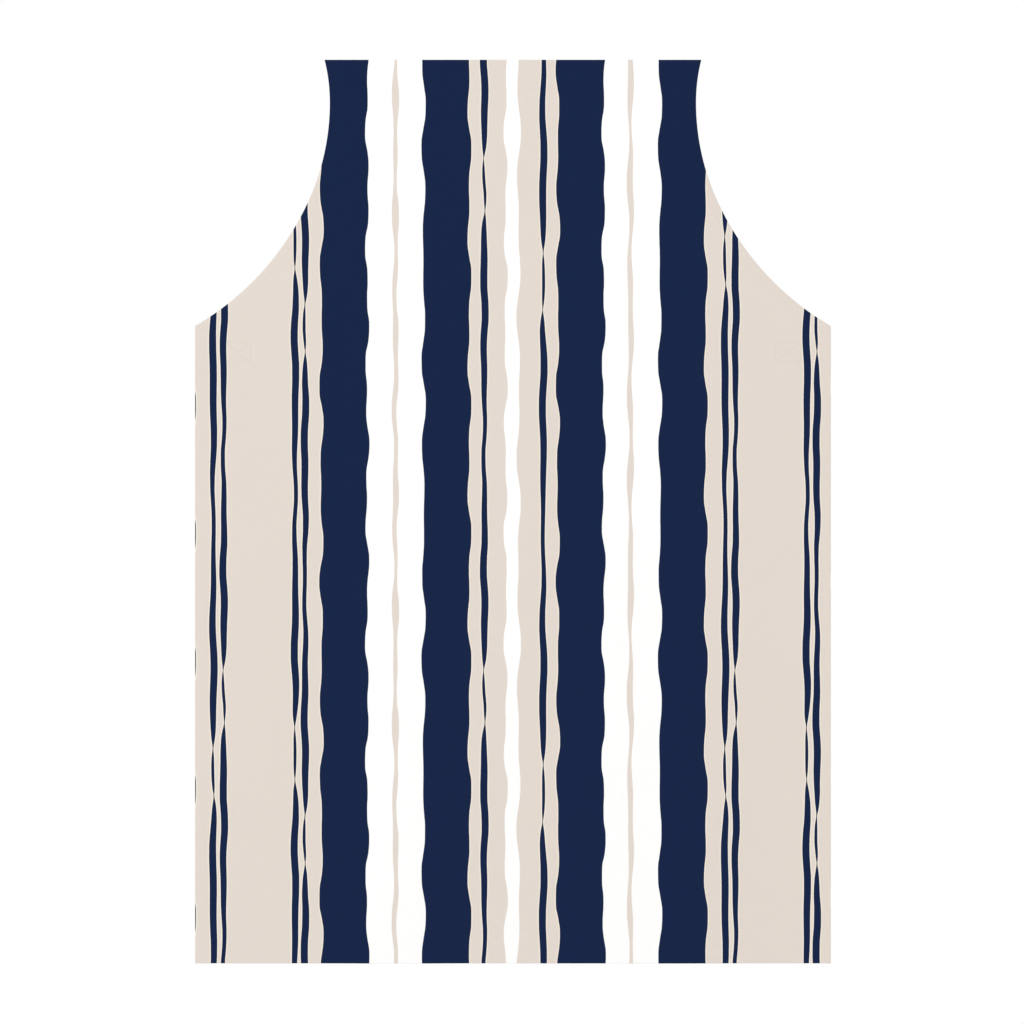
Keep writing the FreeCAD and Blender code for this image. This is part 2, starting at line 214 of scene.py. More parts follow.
# ---- cloth, stitches and webbing ----
EDGE_ROUND = HEM_BACK / 2  # a folded edge is as round as its three layers are thick
STITCH = 2.5 * MM
STITCH_PITCH = 3.1 * MM
THREAD = 0.45 * MM
BOX_THREAD = 0.6 * MM
BOX_PITCH, BOX_STITCH = 2.6 * MM, 2.2 * MM
BOX_LIFT = 0.05 * MM  # how far the boxes' stitches stand on the webbing
FRONT_SINK = 0.12 * MM  # how deep stitches lie in the printed face, where the photo has none
TACK_PITCH = 0.62 * MM
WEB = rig.box("waist_tie_right")[1].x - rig.box("waist_tie_right")[0].x
WEB_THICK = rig.box("waist_tie_right")[1].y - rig.box("waist_tie_right")[0].y


# ---- meshes ----
def add_mesh(name, points, faces, uv, materials, material_of=None):
    """A smooth-shaded mesh object. uv holds one pair per point, in metres of cloth."""
    mesh = bpy.data.meshes.new(name)
    mesh.from_pydata([tuple(p) for p in points], [], [tuple(f) for f in faces])
    mesh.polygons.foreach_set("use_smooth", [True] * len(mesh.polygons))
    corner = np.empty(len(mesh.loops), np.int32)
    mesh.loops.foreach_get("vertex_index", corner)
    layer = mesh.uv_layers.new(name="cloth")
    layer.data.foreach_set("uv", np.asarray(uv, np.float32)[corner].ravel())
    for material in materials:
        mesh.materials.append(material)
    if material_of is not None:
        mesh.polygons.foreach_set("material_index", np.asarray(material_of, np.int32))
    mesh.update()
    piece = bpy.data.objects.new(name, mesh)
    bpy.context.scene.collection.objects.link(piece)
    return piece


def grid_faces(rows, columns, first=0, flip=False):
    """Quads of a rows x columns grid of points."""
    faces = []
    for r in range(rows - 1):
        for c in range(columns - 1):
            a = first + r * columns + c
            quad = (a, a + 1, a + columns + 1, a + columns)
            faces.append(quad[::-1] if flip else quad)
    return faces


def add_slab(name, x, z, y_front, y_back, uv, materials):
    """A closed thin mesh between two grids that share x and z: front first, then back, then the rim."""
    rows, columns = x.shape
    front = np.stack([x, y_front, z], -1).reshape(-1, 3)
    back = np.stack([x, y_back, z], -1).reshape(-1, 3)
    half = rows * columns
    front_faces = grid_faces(rows, columns)
    back_faces = grid_faces(rows, columns, half, flip=True)
    ring = list(range(columns)) + [r * columns + columns - 1 for r in range(1, rows)]
    ring += [(rows - 1) * columns + c for c in range(columns - 2, -1, -1)]
    ring += [r * columns for r in range(rows - 2, 0, -1)]
    rim = [(b, a, a + half, b + half) for a, b in zip(ring, ring[1:] + ring[:1])]
    material_of = [0] * len(front_faces) + [len(materials) - 1] * len(back_faces) + [0] * len(rim)
    uv = np.stack(uv, -1).reshape(-1, 2)
    return add_mesh(name, np.concatenate([front, back]), front_faces + back_faces + rim,
                    np.concatenate([uv, uv]), materials, material_of)


def armhole_circles():
    """(centre x, centre z, radius) of the armhole's three arcs, from the top down."""
    shift = ARMHOLE_LOW_RADIUS - ARMHOLE_MID_RADIUS
    x_mid = BIB_HALF + ARMHOLE_MID_RADIUS
    x_low = x_mid + shift * math.cos(ARMHOLE_MID_TURN)
    z_low = BIB_NARROW_Z + shift * math.sin(ARMHOLE_MID_TURN)
    top = (BIB_HALF + ARMHOLE_TOP_RADIUS, BIB_NARROW_Z, ARMHOLE_TOP_RADIUS)
    return top, (x_mid, BIB_NARROW_Z, ARMHOLE_MID_RADIUS), (x_low, z_low, ARMHOLE_LOW_RADIUS)


def armhole_x(z, inset=0.0):
    """The armhole's x at a height, at an inset from the edge of the cloth."""
    z = np.asarray(z, float)
    turn_z = BIB_NARROW_Z - (ARMHOLE_MID_RADIUS + inset) * math.sin(ARMHOLE_MID_TURN)
    found = []
    for x_centre, z_centre, radius in armhole_circles():
        reach = (radius + inset) ** 2 - (z - z_centre) ** 2
        found.append(np.where(reach > 0, x_centre - np.sqrt(np.maximum(reach, 0)), HALF))
    return np.where(z > BIB_NARROW_Z, found[0], np.where(z > turn_z, found[1], found[2]))


def half_width(z, inset=0.0):
    """Half the panel's width at a height, where only the armholes are inset."""
    return np.minimum(armhole_x(z, inset), HALF)


# ---- the hang of the cloth ----
def waves(x, *terms):
    """A sum of sines, each (size, wavelength, phase)."""
    return sum(size * np.sin(2 * np.pi * x / length + phase) for size, length, phase in terms)


CHEST_DEPTH = 0.30  # from the top edge down to the waist ties, about
HEM_PUCKER, SIDE_PUCKER = 8 * MM, 6 * MM  # how far a seam's gathers reach
PUCKER_START = 20 * MM


def hang(x, z):
    """How far the hanging cloth stands back from flat. The top edge and the waist ties' height stay flat."""
    down = np.clip((-z - CHEST_DEPTH) / (LENGTH - CHEST_DEPTH), 0, 1)
    skirt = down ** 1.2 * waves(x + 0.03 * down, (1.5 * MM, 0.252, 0.7), (0.8 * MM, 0.137, 2.0))
    bow = -1.2 * MM * down ** 2 * np.cos(np.pi * x / (2 * HALF))
    chest = np.clip(-z / CHEST_DEPTH, 0, 1) * np.clip(1 + z / CHEST_DEPTH, 0, 1) * 4
    chest = chest * np.exp(-(x / 0.13) ** 2) * waves(x + 0.3 * z, (0.45 * MM, 0.16, 0.4))
    return skirt + bow + chest + pucker(x, z)


def pucker(x, z):
    """The small gathers along hems, where thread draws the cloth in."""
    along_x = waves(x, (0.06 * MM, 0.0123, 0.0), (0.05 * MM, 0.0191, 1.3), (0.05 * MM, 0.031, 0.4))
    along_z = waves(z, (0.06 * MM, 0.0127, 0.5), (0.05 * MM, 0.0183, 2.2), (0.05 * MM, 0.034, 1.0))
    top = np.exp(-((z - TOP_HEM_LOW) / HEM_PUCKER) ** 2)
    bottom = np.exp(-((z - BOTTOM_HEM_HIGH) / HEM_PUCKER) ** 2)
    side = np.exp(-((half_width(z) - np.abs(x) - SIDE_HEM) / SIDE_PUCKER) ** 2)
    fade_in = np.clip(-z / PUCKER_START, 0, 1)
    return fade_in * (along_x * (top + bottom) + along_z * side)


def edge_rounding(distance):
    """How far a surface drops to the middle of a folded edge at a distance from it."""
    near = np.clip(1 - distance / EDGE_ROUND, 0, 1)
    return EDGE_ROUND * (1 - np.sqrt(1 - near ** 2))


# ---- node building ----
class Nodes:
    """Adds shader nodes to a tree. An input is a number, a colour or another node's output."""

    def __init__(self, tree):
        self.tree = tree
        tree.nodes.clear()

    def add(self, kind, inputs=(), output=0, **settings):
        node = self.tree.nodes.new(kind)
        for key, value in settings.items():
            setattr(node, key, value)
        for key, value in dict(inputs).items():
            if isinstance(value, bpy.types.NodeSocket):
                self.tree.links.new(value, node.inputs[key])
            else:
                node.inputs[key].default_value = value
        return node.outputs[output]

    def math(self, operation, *values):
        return self.add("ShaderNodeMath", enumerate(values), operation=operation)

    def plus(self, a, b):
        return self.math("ADD", a, b)

    def minus(self, a, b):
        return self.math("SUBTRACT", a, b)

    def times(self, a, b):
        return self.math("MULTIPLY", a, b)

    def sine(self, value, wavelength):
        return self.math("SINE", self.times(value, 2 * math.pi / wavelength))

    def ribs(self, value, pitch):
        """Round ridges, one per pitch, 0 to 1."""
        return self.math("ABSOLUTE", self.math("SINE", self.times(value, math.pi / pitch)))

    def highest(self, first, *others):
        for other in others:
            first = self.math("MAXIMUM", first, other)
        return first

    def ramp(self, value, low, high):
        """0 below low, 1 above high, smooth between."""
        inputs = {"Value": value, "From Min": low, "From Max": high}
        return self.add("ShaderNodeMapRange", inputs, interpolation_type="SMOOTHSTEP")

    def mix(self, factor, a, b, blend="MIX"):
        inputs = {0: factor, 6: a, 7: b}
        return self.add("ShaderNodeMix", inputs, 2, data_type="RGBA", blend_type=blend)

    def shaded(self, colour, value, low, high, darkest):
        """The colour, unchanged where value is high and times darkest where it is low."""
        inputs = {"Value": value, "From Min": low, "From Max": high, "To Min": darkest, "To Max": 1.0}
        shade = self.add("ShaderNodeMapRange", inputs)
        grey = self.add("ShaderNodeCombineColor", {0: shade, 1: shade, 2: shade})
        return self.mix(1.0, colour, grey, "MULTIPLY")

    def bump(self, strength, distance, height):
        """A relief. distance is its height in metres."""
        return self.add("ShaderNodeBump", {"Strength": strength, "Distance": distance, "Height": height})

    def surface(self, inputs):
        """The shader that a material ends in."""
        shader = self.add("ShaderNodeBsdfPrincipled", inputs)
        self.add("ShaderNodeOutputMaterial", {"Surface": shader}, output=slice(0))

    def noise(self, position, scale, detail=2.0, roughness=0.5):
        inputs = {"Vector": position, "Scale": scale, "Detail": detail, "Roughness": roughness}
        return self.add("ShaderNodeTexNoise", inputs)

    def position(self, x, y, z=0.0):
        return self.add("ShaderNodeCombineXYZ", {0: x, 1: y, 2: z})

    def cloth_xy(self):
        """The cloth's own coordinates in millimetres."""
        uv = self.add("ShaderNodeUVMap", uv_map="cloth")
        across = self.add("ShaderNodeSeparateXYZ", {0: uv}, 0)
        along = self.add("ShaderNodeSeparateXYZ", {0: uv}, 1)
        return self.times(across, 1000.0), self.times(along, 1000.0)

    def curve(self, share, points, sharp=()):
        """A periodic curve through (share of the period, value in mm); at the sharp points it has a corner.

        It is drawn in the middle of its span, with as much of its neighbours on each side as keeps it smooth.
        """
        points = [(at + turn, value, at in sharp) for turn in (-1, 0, 1) for at, value in points]
        points = sorted(p for p in points if -CURVE_SPARE <= p[0] <= 1 + CURVE_SPARE)
        whole = 1 + 2 * CURVE_SPARE
        node = self.tree.nodes.new("ShaderNodeFloatCurve")
        line = node.mapping.curves[0]
        while len(line.points) < len(points):
            line.points.new(0.5, 0.5)
        for spot, (at, value, corner) in zip(line.points, points):
            spot.location = ((at + CURVE_SPARE) / whole, value / CURVE_SPAN + 0.5)
            spot.handle_type = "VECTOR" if corner else "AUTO_CLAMPED"
        node.mapping.update()
        low, high = CURVE_SPARE / whole, (1 + CURVE_SPARE) / whole
        inner = self.add("ShaderNodeMapRange", {"Value": share, "To Min": low, "To Max": high})
        self.tree.links.new(inner, node.inputs["Value"])
        centred = self.minus(node.outputs[0], 0.5)
        return self.times(centred, CURVE_SPAN)


def new_material(name):
    material = bpy.data.materials.new(name)
    material.use_nodes = True
    return material, Nodes(material.node_tree)


def srgb(red, green, blue):
    """A colour as it looks on a screen, 0 to 255, as the linear one that a shader takes."""
    linear = [((c / 255 + 0.055) / 1.055) ** 2.4 if c > 10 else c / 255 / 12.92 for c in (red, green, blue)]
    return (*linear, 1.0)


# ---- the print ----
# The stripes repeat every PERIOD both ways, in millimetres. A stripe edge is a mean place, measured in the
# photo, and a wander about it. The wander is a formula of two waves, with the character of the photo's edges.
# It doesn't follow them. Two pairs of wide stripes have the same edges.
PERIOD = 491.0
TILE_RIGHT = 195.0
PAIR_SHIFT = 226.8
CURVE_SPAN = 14.0
CURVE_SPARE = 0.3  # of a period, drawn before and after it
WANDER_STEPS = 48  # points per period
SLOW_WAVES, QUICK_WAVES = 4, 7  # per period, at the least
SLOW_SHARE, QUICK_SHARE = 0.55, 0.45
GOLDEN = 0.618034  # starts each edge's waves at another place
EDGE_REACH = 2.2  # furthest wander of a wide stripe's edge
PALE_REACH = 1.4
THIN_REACH = 0.9
LENS_WIDTH = 2.5
# The rest of a thin line, from its second pinch round to its first: (share of the way, width).
THIN_SHAPE = ((0.07, 5.5), (0.16, 6.5), (0.35, 5.5), (0.5, 3.5), (0.65, 5.0), (0.84, 6.5), (0.93, 5.5))

NAVY = srgb(14, 32, 68)
BEIGE = srgb(225, 215, 206)
WHITE = srgb(253, 253, 253)
CREAM = srgb(250, 241, 226)


def wander(order, reach):
    """How far an edge strays down a period, as (depth, to the right). Each order gives another edge."""
    points = []
    for step in range(WANDER_STEPS):
        share = step / WANDER_STEPS
        slow = math.sin(2 * math.pi * ((SLOW_WAVES + order % 2) * share + GOLDEN * order))
        quick = math.sin(2 * math.pi * ((QUICK_WAVES + order % 3) * share + GOLDEN * order * order))
        points.append((share * PERIOD, reach * (SLOW_SHARE * slow + QUICK_SHARE * quick)))
    return points


def thin_width(first, second):
    """A thin line's width down a period: none at its two pinches, and a slim lens between them."""
    rest = PERIOD - (second - first)
    points = [(first, 0.0), ((first + second) / 2, LENS_WIDTH), (second, 0.0)]
    for part, width in THIN_SHAPE:
        points.append(((second + part * rest) % PERIOD, width))
    return sorted(points)


WIDE_STRIPES = [
    ((-183.5, wander(1, EDGE_REACH)), (-140, wander(2, EDGE_REACH))),
    ((-85.5, wander(3, EDGE_REACH)), (-42, wander(4, EDGE_REACH))),
]
WHITE_GAP = ((-7, wander(5, EDGE_REACH)), (5.5, wander(6, EDGE_REACH)))
PALE_LINES = [
    ((-115, wander(7, PALE_REACH)), (-110.5, wander(8, PALE_REACH))),
    ((110.5, wander(9, PALE_REACH)), (115, wander(10, PALE_REACH))),
]
# A thin line's mean places, and its two pinches measured down from the top edge.
THIN_LINES = [
    ((-277.5, -27.5), (95, 145)),
    ((-287.5,), (170, 215)),
    ((-209,), (150, 200)),
    ((-199.5,), (235, 280)),
    ((29,), (185, 240)),
]
THIN_ORDER = 11  # the first thin line's order number
INK_SPREAD = 0.25  # how far the ink creeps past its drawn edge


class Print:
    """The signed distances of the print's regions, in mm, positive inside."""

    def __init__(self, nodes):
        self.nodes = nodes
        x, z = nodes.cloth_xy()
        self.depth = nodes.times(z, -1.0)
        bleed = nodes.noise(nodes.position(x, z), 1.6, 2.0)
        bleed = nodes.times(nodes.minus(bleed, 0.5), 0.35)
        self.x = nodes.math("WRAP", nodes.plus(x, bleed), TILE_RIGHT, TILE_RIGHT - PERIOD)
        self.share = nodes.math("FRACT", nodes.math("DIVIDE", self.depth, PERIOD))

    def wave(self, turning_points, corners=()):
        points = [(at / PERIOD, value) for at, value in turning_points]
        return self.nodes.curve(self.share, points, [at / PERIOD for at in corners])

    def between(self, left, right, shift=0.0):
        """The distance inside a band with wavy edges, each (mean, wave)."""
        nodes = self.nodes
        from_left = nodes.minus(nodes.minus(self.x, left[0] + shift), left[1])
        from_right = nodes.minus(nodes.minus(self.x, right[0] + shift), right[1])
        return nodes.math("MINIMUM", from_left, nodes.times(from_right, -1.0))

    def band(self, edges):
        return self.between(*[(mean, self.wave(points)) for mean, points in edges])

    def thin_lines(self):
        """The distance inside the nearest of the thin lines."""
        nodes = self.nodes
        found = []
        for order, (places, pinches) in enumerate(THIN_LINES):
            sway = self.wave(wander(THIN_ORDER + order, THIN_REACH))
            centred = nodes.minus(self.x, sway)
            half = nodes.times(self.wave(thin_width(*pinches), pinches), 0.5)
            for place in places:
                off = nodes.math("ABSOLUTE", nodes.minus(centred, place))
                found.append(nodes.minus(half, off))
        return nodes.highest(*found)

    def regions(self):
        """(inside navy, inside white), as distances."""
        nodes = self.nodes
        waved = [[(mean, self.wave(points)) for mean, points in stripe] for stripe in WIDE_STRIPES]
        navy = [self.between(*stripe, shift=s) for stripe in waved for s in (0.0, PAIR_SHIFT)]
        navy.append(self.thin_lines())
        (_, a_right), (b_left, _) = waved
        white = [self.between(a_right, b_left, shift=s) for s in (0.0, PAIR_SHIFT)]
        white.append(self.band(WHITE_GAP))
        pale = nodes.highest(*[self.band(line) for line in PALE_LINES])
        white = nodes.math("MINIMUM", nodes.highest(*white), nodes.times(pale, -1.0))
        return nodes.plus(nodes.highest(*navy), INK_SPREAD), white


def make_print_group():
    """The print as a node group: its colour, and how much navy ink lies at a point."""
    group = bpy.data.node_groups.new("stripe_print", "ShaderNodeTree")
    group.interface.new_socket("Color", in_out="OUTPUT", socket_type="NodeSocketColor")
    group.interface.new_socket("Ink", in_out="OUTPUT", socket_type="NodeSocketFloat")
    nodes = Nodes(group)
    navy, white = Print(nodes).regions()
    ground = nodes.mix(nodes.ramp(white, -0.15, 0.15), BEIGE, WHITE)
    halo = nodes.times(nodes.ramp(navy, -1.3, -0.5), 0.75)
    ground = nodes.mix(nodes.times(halo, nodes.ramp(white, 0.0, -0.8)), ground, CREAM)
    ink = nodes.ramp(navy, -0.15, 0.15)
    nodes.add("NodeGroupOutput", {"Color": nodes.mix(ink, ground, NAVY), "Ink": ink}, output=slice(0))
    return group


# ---- materials ----
YARN = 0.42  # pitch of the body cloth's yarns, mm
RIB = 1.25  # pitch of the webbing's warp cords, mm


def plain_weave(nodes, x, z, pitch):
    """(height, which yarn is on top) of a plain weave, each 0 to 1."""
    crossing = nodes.times(nodes.sine(x, 2 * pitch), nodes.sine(z, 2 * pitch))
    height = nodes.math("POWER", nodes.math("ABSOLUTE", crossing), 0.6)
    return height, nodes.ramp(crossing, -0.4, 0.4)


def finish_cloth(nodes, colour, height, depth, roughness, sheen):
    """The shader every woven material ends in. depth is the height of the relief, in metres."""
    bump = nodes.bump(0.8, depth, height)
    inputs = {"Base Color": colour, "Roughness": roughness, "Normal": bump, "Specular IOR Level": 0.12,
              "Sheen Weight": sheen, "Sheen Roughness": 0.5}
    nodes.surface(inputs)


def woven_tone(nodes, colour, x, z, on_top, strength):
    """Tones a colour by yarn, by slubs along the yarns, and by slow unevenness."""
    slub_across = nodes.noise(nodes.position(x, nodes.times(z, 0.06)), 1.1, 2.0)
    slub_along = nodes.noise(nodes.position(nodes.times(x, 0.06), z, 7.0), 1.1, 2.0)
    slow = nodes.noise(nodes.position(x, z, 3.0), 0.012, 3.0)
    sum_of = nodes.plus(nodes.plus(slub_across, slub_along), nodes.times(slow, 0.6))
    sum_of = nodes.plus(sum_of, nodes.times(on_top, 0.5))
    return nodes.shaded(colour, sum_of, 1.0, 2.1, 1.0 - strength)


def make_printed_cloth(stripes):
    material, nodes = new_material("printed_cotton")
    x, z = nodes.cloth_xy()
    colour = nodes.add("ShaderNodeGroup", node_tree=stripes)
    ink = colour.node.outputs["Ink"]
    height, on_top = plain_weave(nodes, x, z, YARN)
    toned = woven_tone(nodes, colour, x, z, on_top, 0.03)
    fuzz = nodes.noise(nodes.position(x, z), 2.5, 3.0)
    dry = nodes.minus(fuzz, nodes.times(ink, 0.2))
    roughness = nodes.add("ShaderNodeMapRange", {"Value": dry, "To Min": 0.82, "To Max": 0.97})
    relief = nodes.plus(height, nodes.times(fuzz, 0.5))
    finish_cloth(nodes, toned, relief, 0.05 * MM, roughness, 0.05)
    return material


def make_cloth_back(stripes):
    """The unprinted side: natural white, with the ink showing through a little, in patches."""
    material, nodes = new_material("cotton_back")
    x, z = nodes.cloth_xy()
    ink = nodes.add("ShaderNodeGroup", node_tree=stripes).node.outputs["Ink"]
    height, on_top = plain_weave(nodes, x, z, YARN)
    patchy = nodes.noise(nodes.position(x, z), 0.35, 3.0)
    through = nodes.times(ink, nodes.plus(nodes.times(patchy, 0.12), 0.05))
    ground = nodes.mix(through, srgb(240, 236, 229), srgb(120, 130, 160))
    toned = woven_tone(nodes, ground, x, z, on_top, 0.06)
    fuzz = nodes.noise(nodes.position(x, z), 2.5, 3.0)
    relief = nodes.plus(height, nodes.times(fuzz, 0.5))
    finish_cloth(nodes, toned, relief, 0.05 * MM, 0.92, 0.08)
    return material


def make_webbing():
    """Cotton tape: cords along its length, crossed by the weft in a herringbone."""
    material, nodes = new_material("cotton_tape")
    x, z = nodes.cloth_xy()
    fold = nodes.math("PINGPONG", x, 12.5 / 2)
    slant = nodes.plus(z, fold)
    cords, weft = nodes.ribs(x, RIB), nodes.ribs(slant, 1.6)
    height = nodes.plus(nodes.times(cords, 0.6), nodes.times(weft, 0.7))
    fibre = nodes.noise(nodes.position(x, nodes.times(z, 0.25)), 3.0, 4.0, 0.6)
    # The colour is darker where the relief is low: painted shade in the grooves between cords and weft ribs, with the
    # yarn's own fibre tone mixed in.
    groove_shade_and_fibre = nodes.ramp(nodes.plus(height, nodes.times(fibre, 0.8)), 0.3, 1.5)
    colour = nodes.mix(groove_shade_and_fibre, srgb(196, 184, 170), srgb(231, 221, 209))
    slow = nodes.noise(nodes.position(x, z, 5.0), 0.05, 2.0)
    colour = nodes.mix(nodes.times(nodes.ramp(slow, 0.35, 0.7), 0.12), colour, srgb(205, 192, 174))
    relief = nodes.plus(height, nodes.times(fibre, 0.25))
    finish_cloth(nodes, colour, relief, 0.16 * MM, 0.9, 0.15)
    return material


def make_thread(name, colour_node):
    """Two-ply sewing thread; colour_node makes its colour in a tree."""
    material, nodes = new_material(name)
    x, z = nodes.cloth_xy()
    twist = nodes.sine(nodes.plus(x, z), 0.5)
    # Darker in the troughs of the ply twist: painted shade between the plies.
    colour = nodes.shaded(colour_node(nodes), twist, -1.0, 1.0, 0.9)
    finish_cloth(nodes, colour, twist, 0.04 * MM, 0.75, 0.05)
    return material


def make_label_tape():
    """White satin tape: fine weft ribs and a slight gloss."""
    material, nodes = new_material("satin_tape")
    x, z = nodes.cloth_xy()
    ribs = nodes.ribs(z, 0.35)
    fibre = nodes.noise(nodes.position(nodes.times(x, 0.2), z), 2.0, 3.0)
    colour = nodes.mix(fibre, srgb(232, 229, 223), srgb(247, 245, 241))
    relief = nodes.plus(ribs, nodes.times(fibre, 0.4))
    bump = nodes.bump(0.6, 0.03 * MM, relief)
    roughness = nodes.ramp(fibre, -0.6, 2.2)
    inputs = {"Base Color": colour, "Roughness": roughness, "Normal": bump, "Specular IOR Level": 0.4,
              "Sheen Weight": 0.1}
    nodes.surface(inputs)
    return material


def make_nickel():
    """Nickel plate on pressed steel: fine polishing lines, and duller where it is handled."""
    material, nodes = new_material("nickel_plate")
    place = nodes.add("ShaderNodeTexCoord", output="Object")
    stretched = nodes.add("ShaderNodeMapping", {"Vector": place, "Scale": (300.0, 3000.0, 3000.0)})
    lines = nodes.noise(stretched, 1.0, 3.0, 0.6)
    dull = nodes.noise(place, 260.0, 3.0)
    roughness = nodes.plus(nodes.times(nodes.ramp(dull, 0.35, 0.75), 0.16), 0.14)
    roughness = nodes.plus(roughness, nodes.times(lines, 0.08))
    colour = nodes.mix(nodes.ramp(dull, 0.4, 0.8), srgb(214, 211, 204), srgb(186, 181, 172))
    bump = nodes.bump(0.25, 0.02 * MM, lines)
    inputs = {"Base Color": colour, "Metallic": 1.0, "Roughness": roughness, "Normal": bump}
    nodes.surface(inputs)
    return material


# ---- the panel and its hems ----
CELL = 3.6 * MM
TOP_HEM_COLUMNS = 170
HEM_LIFT = 0.02 * MM  # lifts the panel's back, so that the hems' fronts lie just inside it
HEM_END_GAP = 0.4 * MM  # between a side hem and the facing above it
RIM_STEPS = [0.0, 0.05 * MM, 0.2 * MM, 0.45 * MM, 0.7 * MM, EDGE_ROUND]


def armhole_end(inset=0.0):
    """The height where the armhole, at an inset, meets the side edge."""
    x, z, radius = armhole_circles()[2]
    return z - math.sqrt((radius + inset) ** 2 - (x - HALF) ** 2)


def armhole_distance(x, z):
    """How far inside the armhole's edge a point is."""
    x = np.abs(x)
    top, mid, low = [np.hypot(x - xc, z - zc) - radius for xc, zc, radius in armhole_circles()]
    x_mid = armhole_circles()[1][0]
    steep = np.arctan2(BIB_NARROW_Z - z, x_mid - x) < ARMHOLE_MID_TURN
    return np.where(z > BIB_NARROW_Z, top, np.where(steep, mid, low))


def edge_distance(x, z):
    near = np.minimum(np.minimum(-z, z + LENGTH), HALF - np.abs(x))
    return np.maximum(np.minimum(near, armhole_distance(x, z)), 0)


def steps_between(low, high, cell):
    return np.linspace(low, high, max(2, int(round(abs(high - low) / cell)) + 1))


def with_rims(low, high, cell, rim_low=True, rim_high=True):
    """Values from low to high, closer together at an edge that is folded."""
    inner_low = low + (EDGE_ROUND if rim_low else 0)
    inner_high = high - (EDGE_ROUND if rim_high else 0)
    values = list(steps_between(inner_low, inner_high, cell))
    if rim_low:
        values = [low + step for step in RIM_STEPS[:-1]] + values
    if rim_high:
        values = values + [high - step for step in RIM_STEPS[-2::-1]]
    return np.array(values)


def panel_rows():
    corner = armhole_end()
    upper = with_rims(corner, 0.0, CELL, rim_low=False)
    lower = with_rims(-LENGTH, corner, CELL, rim_high=False)
    return np.concatenate([lower[:-1], upper])[::-1]


def cloth_front(x, z):
    """The printed face: it hangs, and turns back round the folded edges."""
    return hang(x, z) + edge_rounding(edge_distance(x, z))


def cloth_inside(x, z):
    """Between the body cloth and its hems."""
    return hang(x, z) + np.maximum(edge_rounding(edge_distance(x, z)), CLOTH) + HEM_LIFT


def hem_back(x, z):
    return hang(x, z) + HEM_BACK - edge_rounding(edge_distance(x, z)) + HEM_LIFT


def make_panel(front, back):
    z = panel_rows()[:, None]
    half = half_width(z)
    share = with_rims(-HALF, HALF, CELL)[None, :]
    rim = HALF - np.abs(share)
    inner = np.sign(share) * (half - EDGE_ROUND) * np.abs(share) / (HALF - EDGE_ROUND)
    x = np.where(rim < EDGE_ROUND - 1e-9, np.sign(share) * (half - rim), inner)
    x, z = as_grid(x, z)
    return add_slab("apron_panel", x, z, cloth_front(x, z), cloth_inside(x, z), (x, z), [front, back])


def as_grid(x, z, side=1):
    """x and z as grids of one shape, turned round on the left side so that the faces still look outwards."""
    x, z = np.broadcast_arrays(x, z)
    return (x, z) if side > 0 else (x[:, ::-1], z[:, ::-1])


def make_hem(name, x, z, uv, materials):
    return add_slab(name, x, z, cloth_inside(x, z) - HEM_LIFT, hem_back(x, z), uv, materials)


def make_hems(printed):
    """The hems' backs show the print beyond the edge that they fold over."""
    made = []
    z = with_rims(TOP_HEM_LOW, 0, CELL / 2)[::-1][:, None]
    x, z = as_grid(np.linspace(-1, 1, TOP_HEM_COLUMNS)[None, :] * half_width(z, FACING), z)
    made.append(make_hem("hem_top", x, z, (x, -z), [printed]))

    z = with_rims(-LENGTH, BOTTOM_HEM_HIGH, CELL / 2)[::-1][:, None]
    x, z = as_grid(with_rims(-HALF, HALF, CELL)[None, :], z)
    made.append(make_hem("hem_bottom", x, z, (x, -2 * LENGTH - z), [printed]))

    for word, side in SIDES:
        z = steps_between(BOTTOM_HEM_HIGH, SIDE_HEM_TOP - HEM_END_GAP, CELL)[::-1][:, None]
        inner = HALF - SIDE_HEM
        outer = half_width(z, FACING)
        x = side * (inner + (outer - inner) * (with_rims(0, SIDE_HEM, CELL / 2)[None, :] / SIDE_HEM))
        x, z = as_grid(x, z, side)
        made.append(make_hem("hem_side_" + word, x, z, (side * 2 * HALF - x, z), [printed]))

        low_z = armhole_end(FACING) + HEM_END_GAP
        z = panel_rows()
        z = np.append(z[z > low_z + 0.2 * MM], low_z)[:, None]
        inner, outer = armhole_x(z, FACING), half_width(z)
        x = side * (inner + (outer - inner) * (with_rims(0, FACING, CELL / 2)[None, :] / FACING))
        x, z = as_grid(x, z, side)
        inset = armhole_distance(x, z)
        bias = ((inset + z) / math.sqrt(2), (z - inset) / math.sqrt(2))
        made.append(make_hem("facing_" + word, x, z, bias, [printed]))
    return made


def make_patch(word, side, printed):
    low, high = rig.box("waist_patch_" + word)
    z = with_rims(low.z, high.z, CELL / 2)[::-1][:, None]
    x, z = as_grid(with_rims(low.x, high.x, CELL / 2)[None, :], z)
    near = np.minimum(np.minimum(x - low.x, high.x - x), np.minimum(z - low.z, high.z - z))
    front = hang(x, z) + CLOTH
    back = hang(x, z) + HEM_BACK - 0.6 * edge_rounding(np.maximum(near, 0))
    return add_slab("patch_" + word, x, z, front, back, (x, z - 0.05), [printed])


# ---- stitches ----
def along(path, pitch, start=0.0):
    """(middle, direction) every pitch along a polyline of (x, z) points."""
    path = np.asarray(path, float)
    legs = np.diff(path, axis=0)
    sizes = np.hypot(*legs.T)
    ends = np.concatenate([[0], np.cumsum(sizes)])
    count = int((ends[-1] - start) / pitch)
    spare = (ends[-1] - start - count * pitch) / 2
    for k in range(count):
        at = start + spare + (k + 0.5) * pitch
        leg = min(np.searchsorted(ends, at) - 1, len(legs) - 1)
        yield path[leg] + legs[leg] * (at - ends[leg]) / sizes[leg], legs[leg] / sizes[leg]


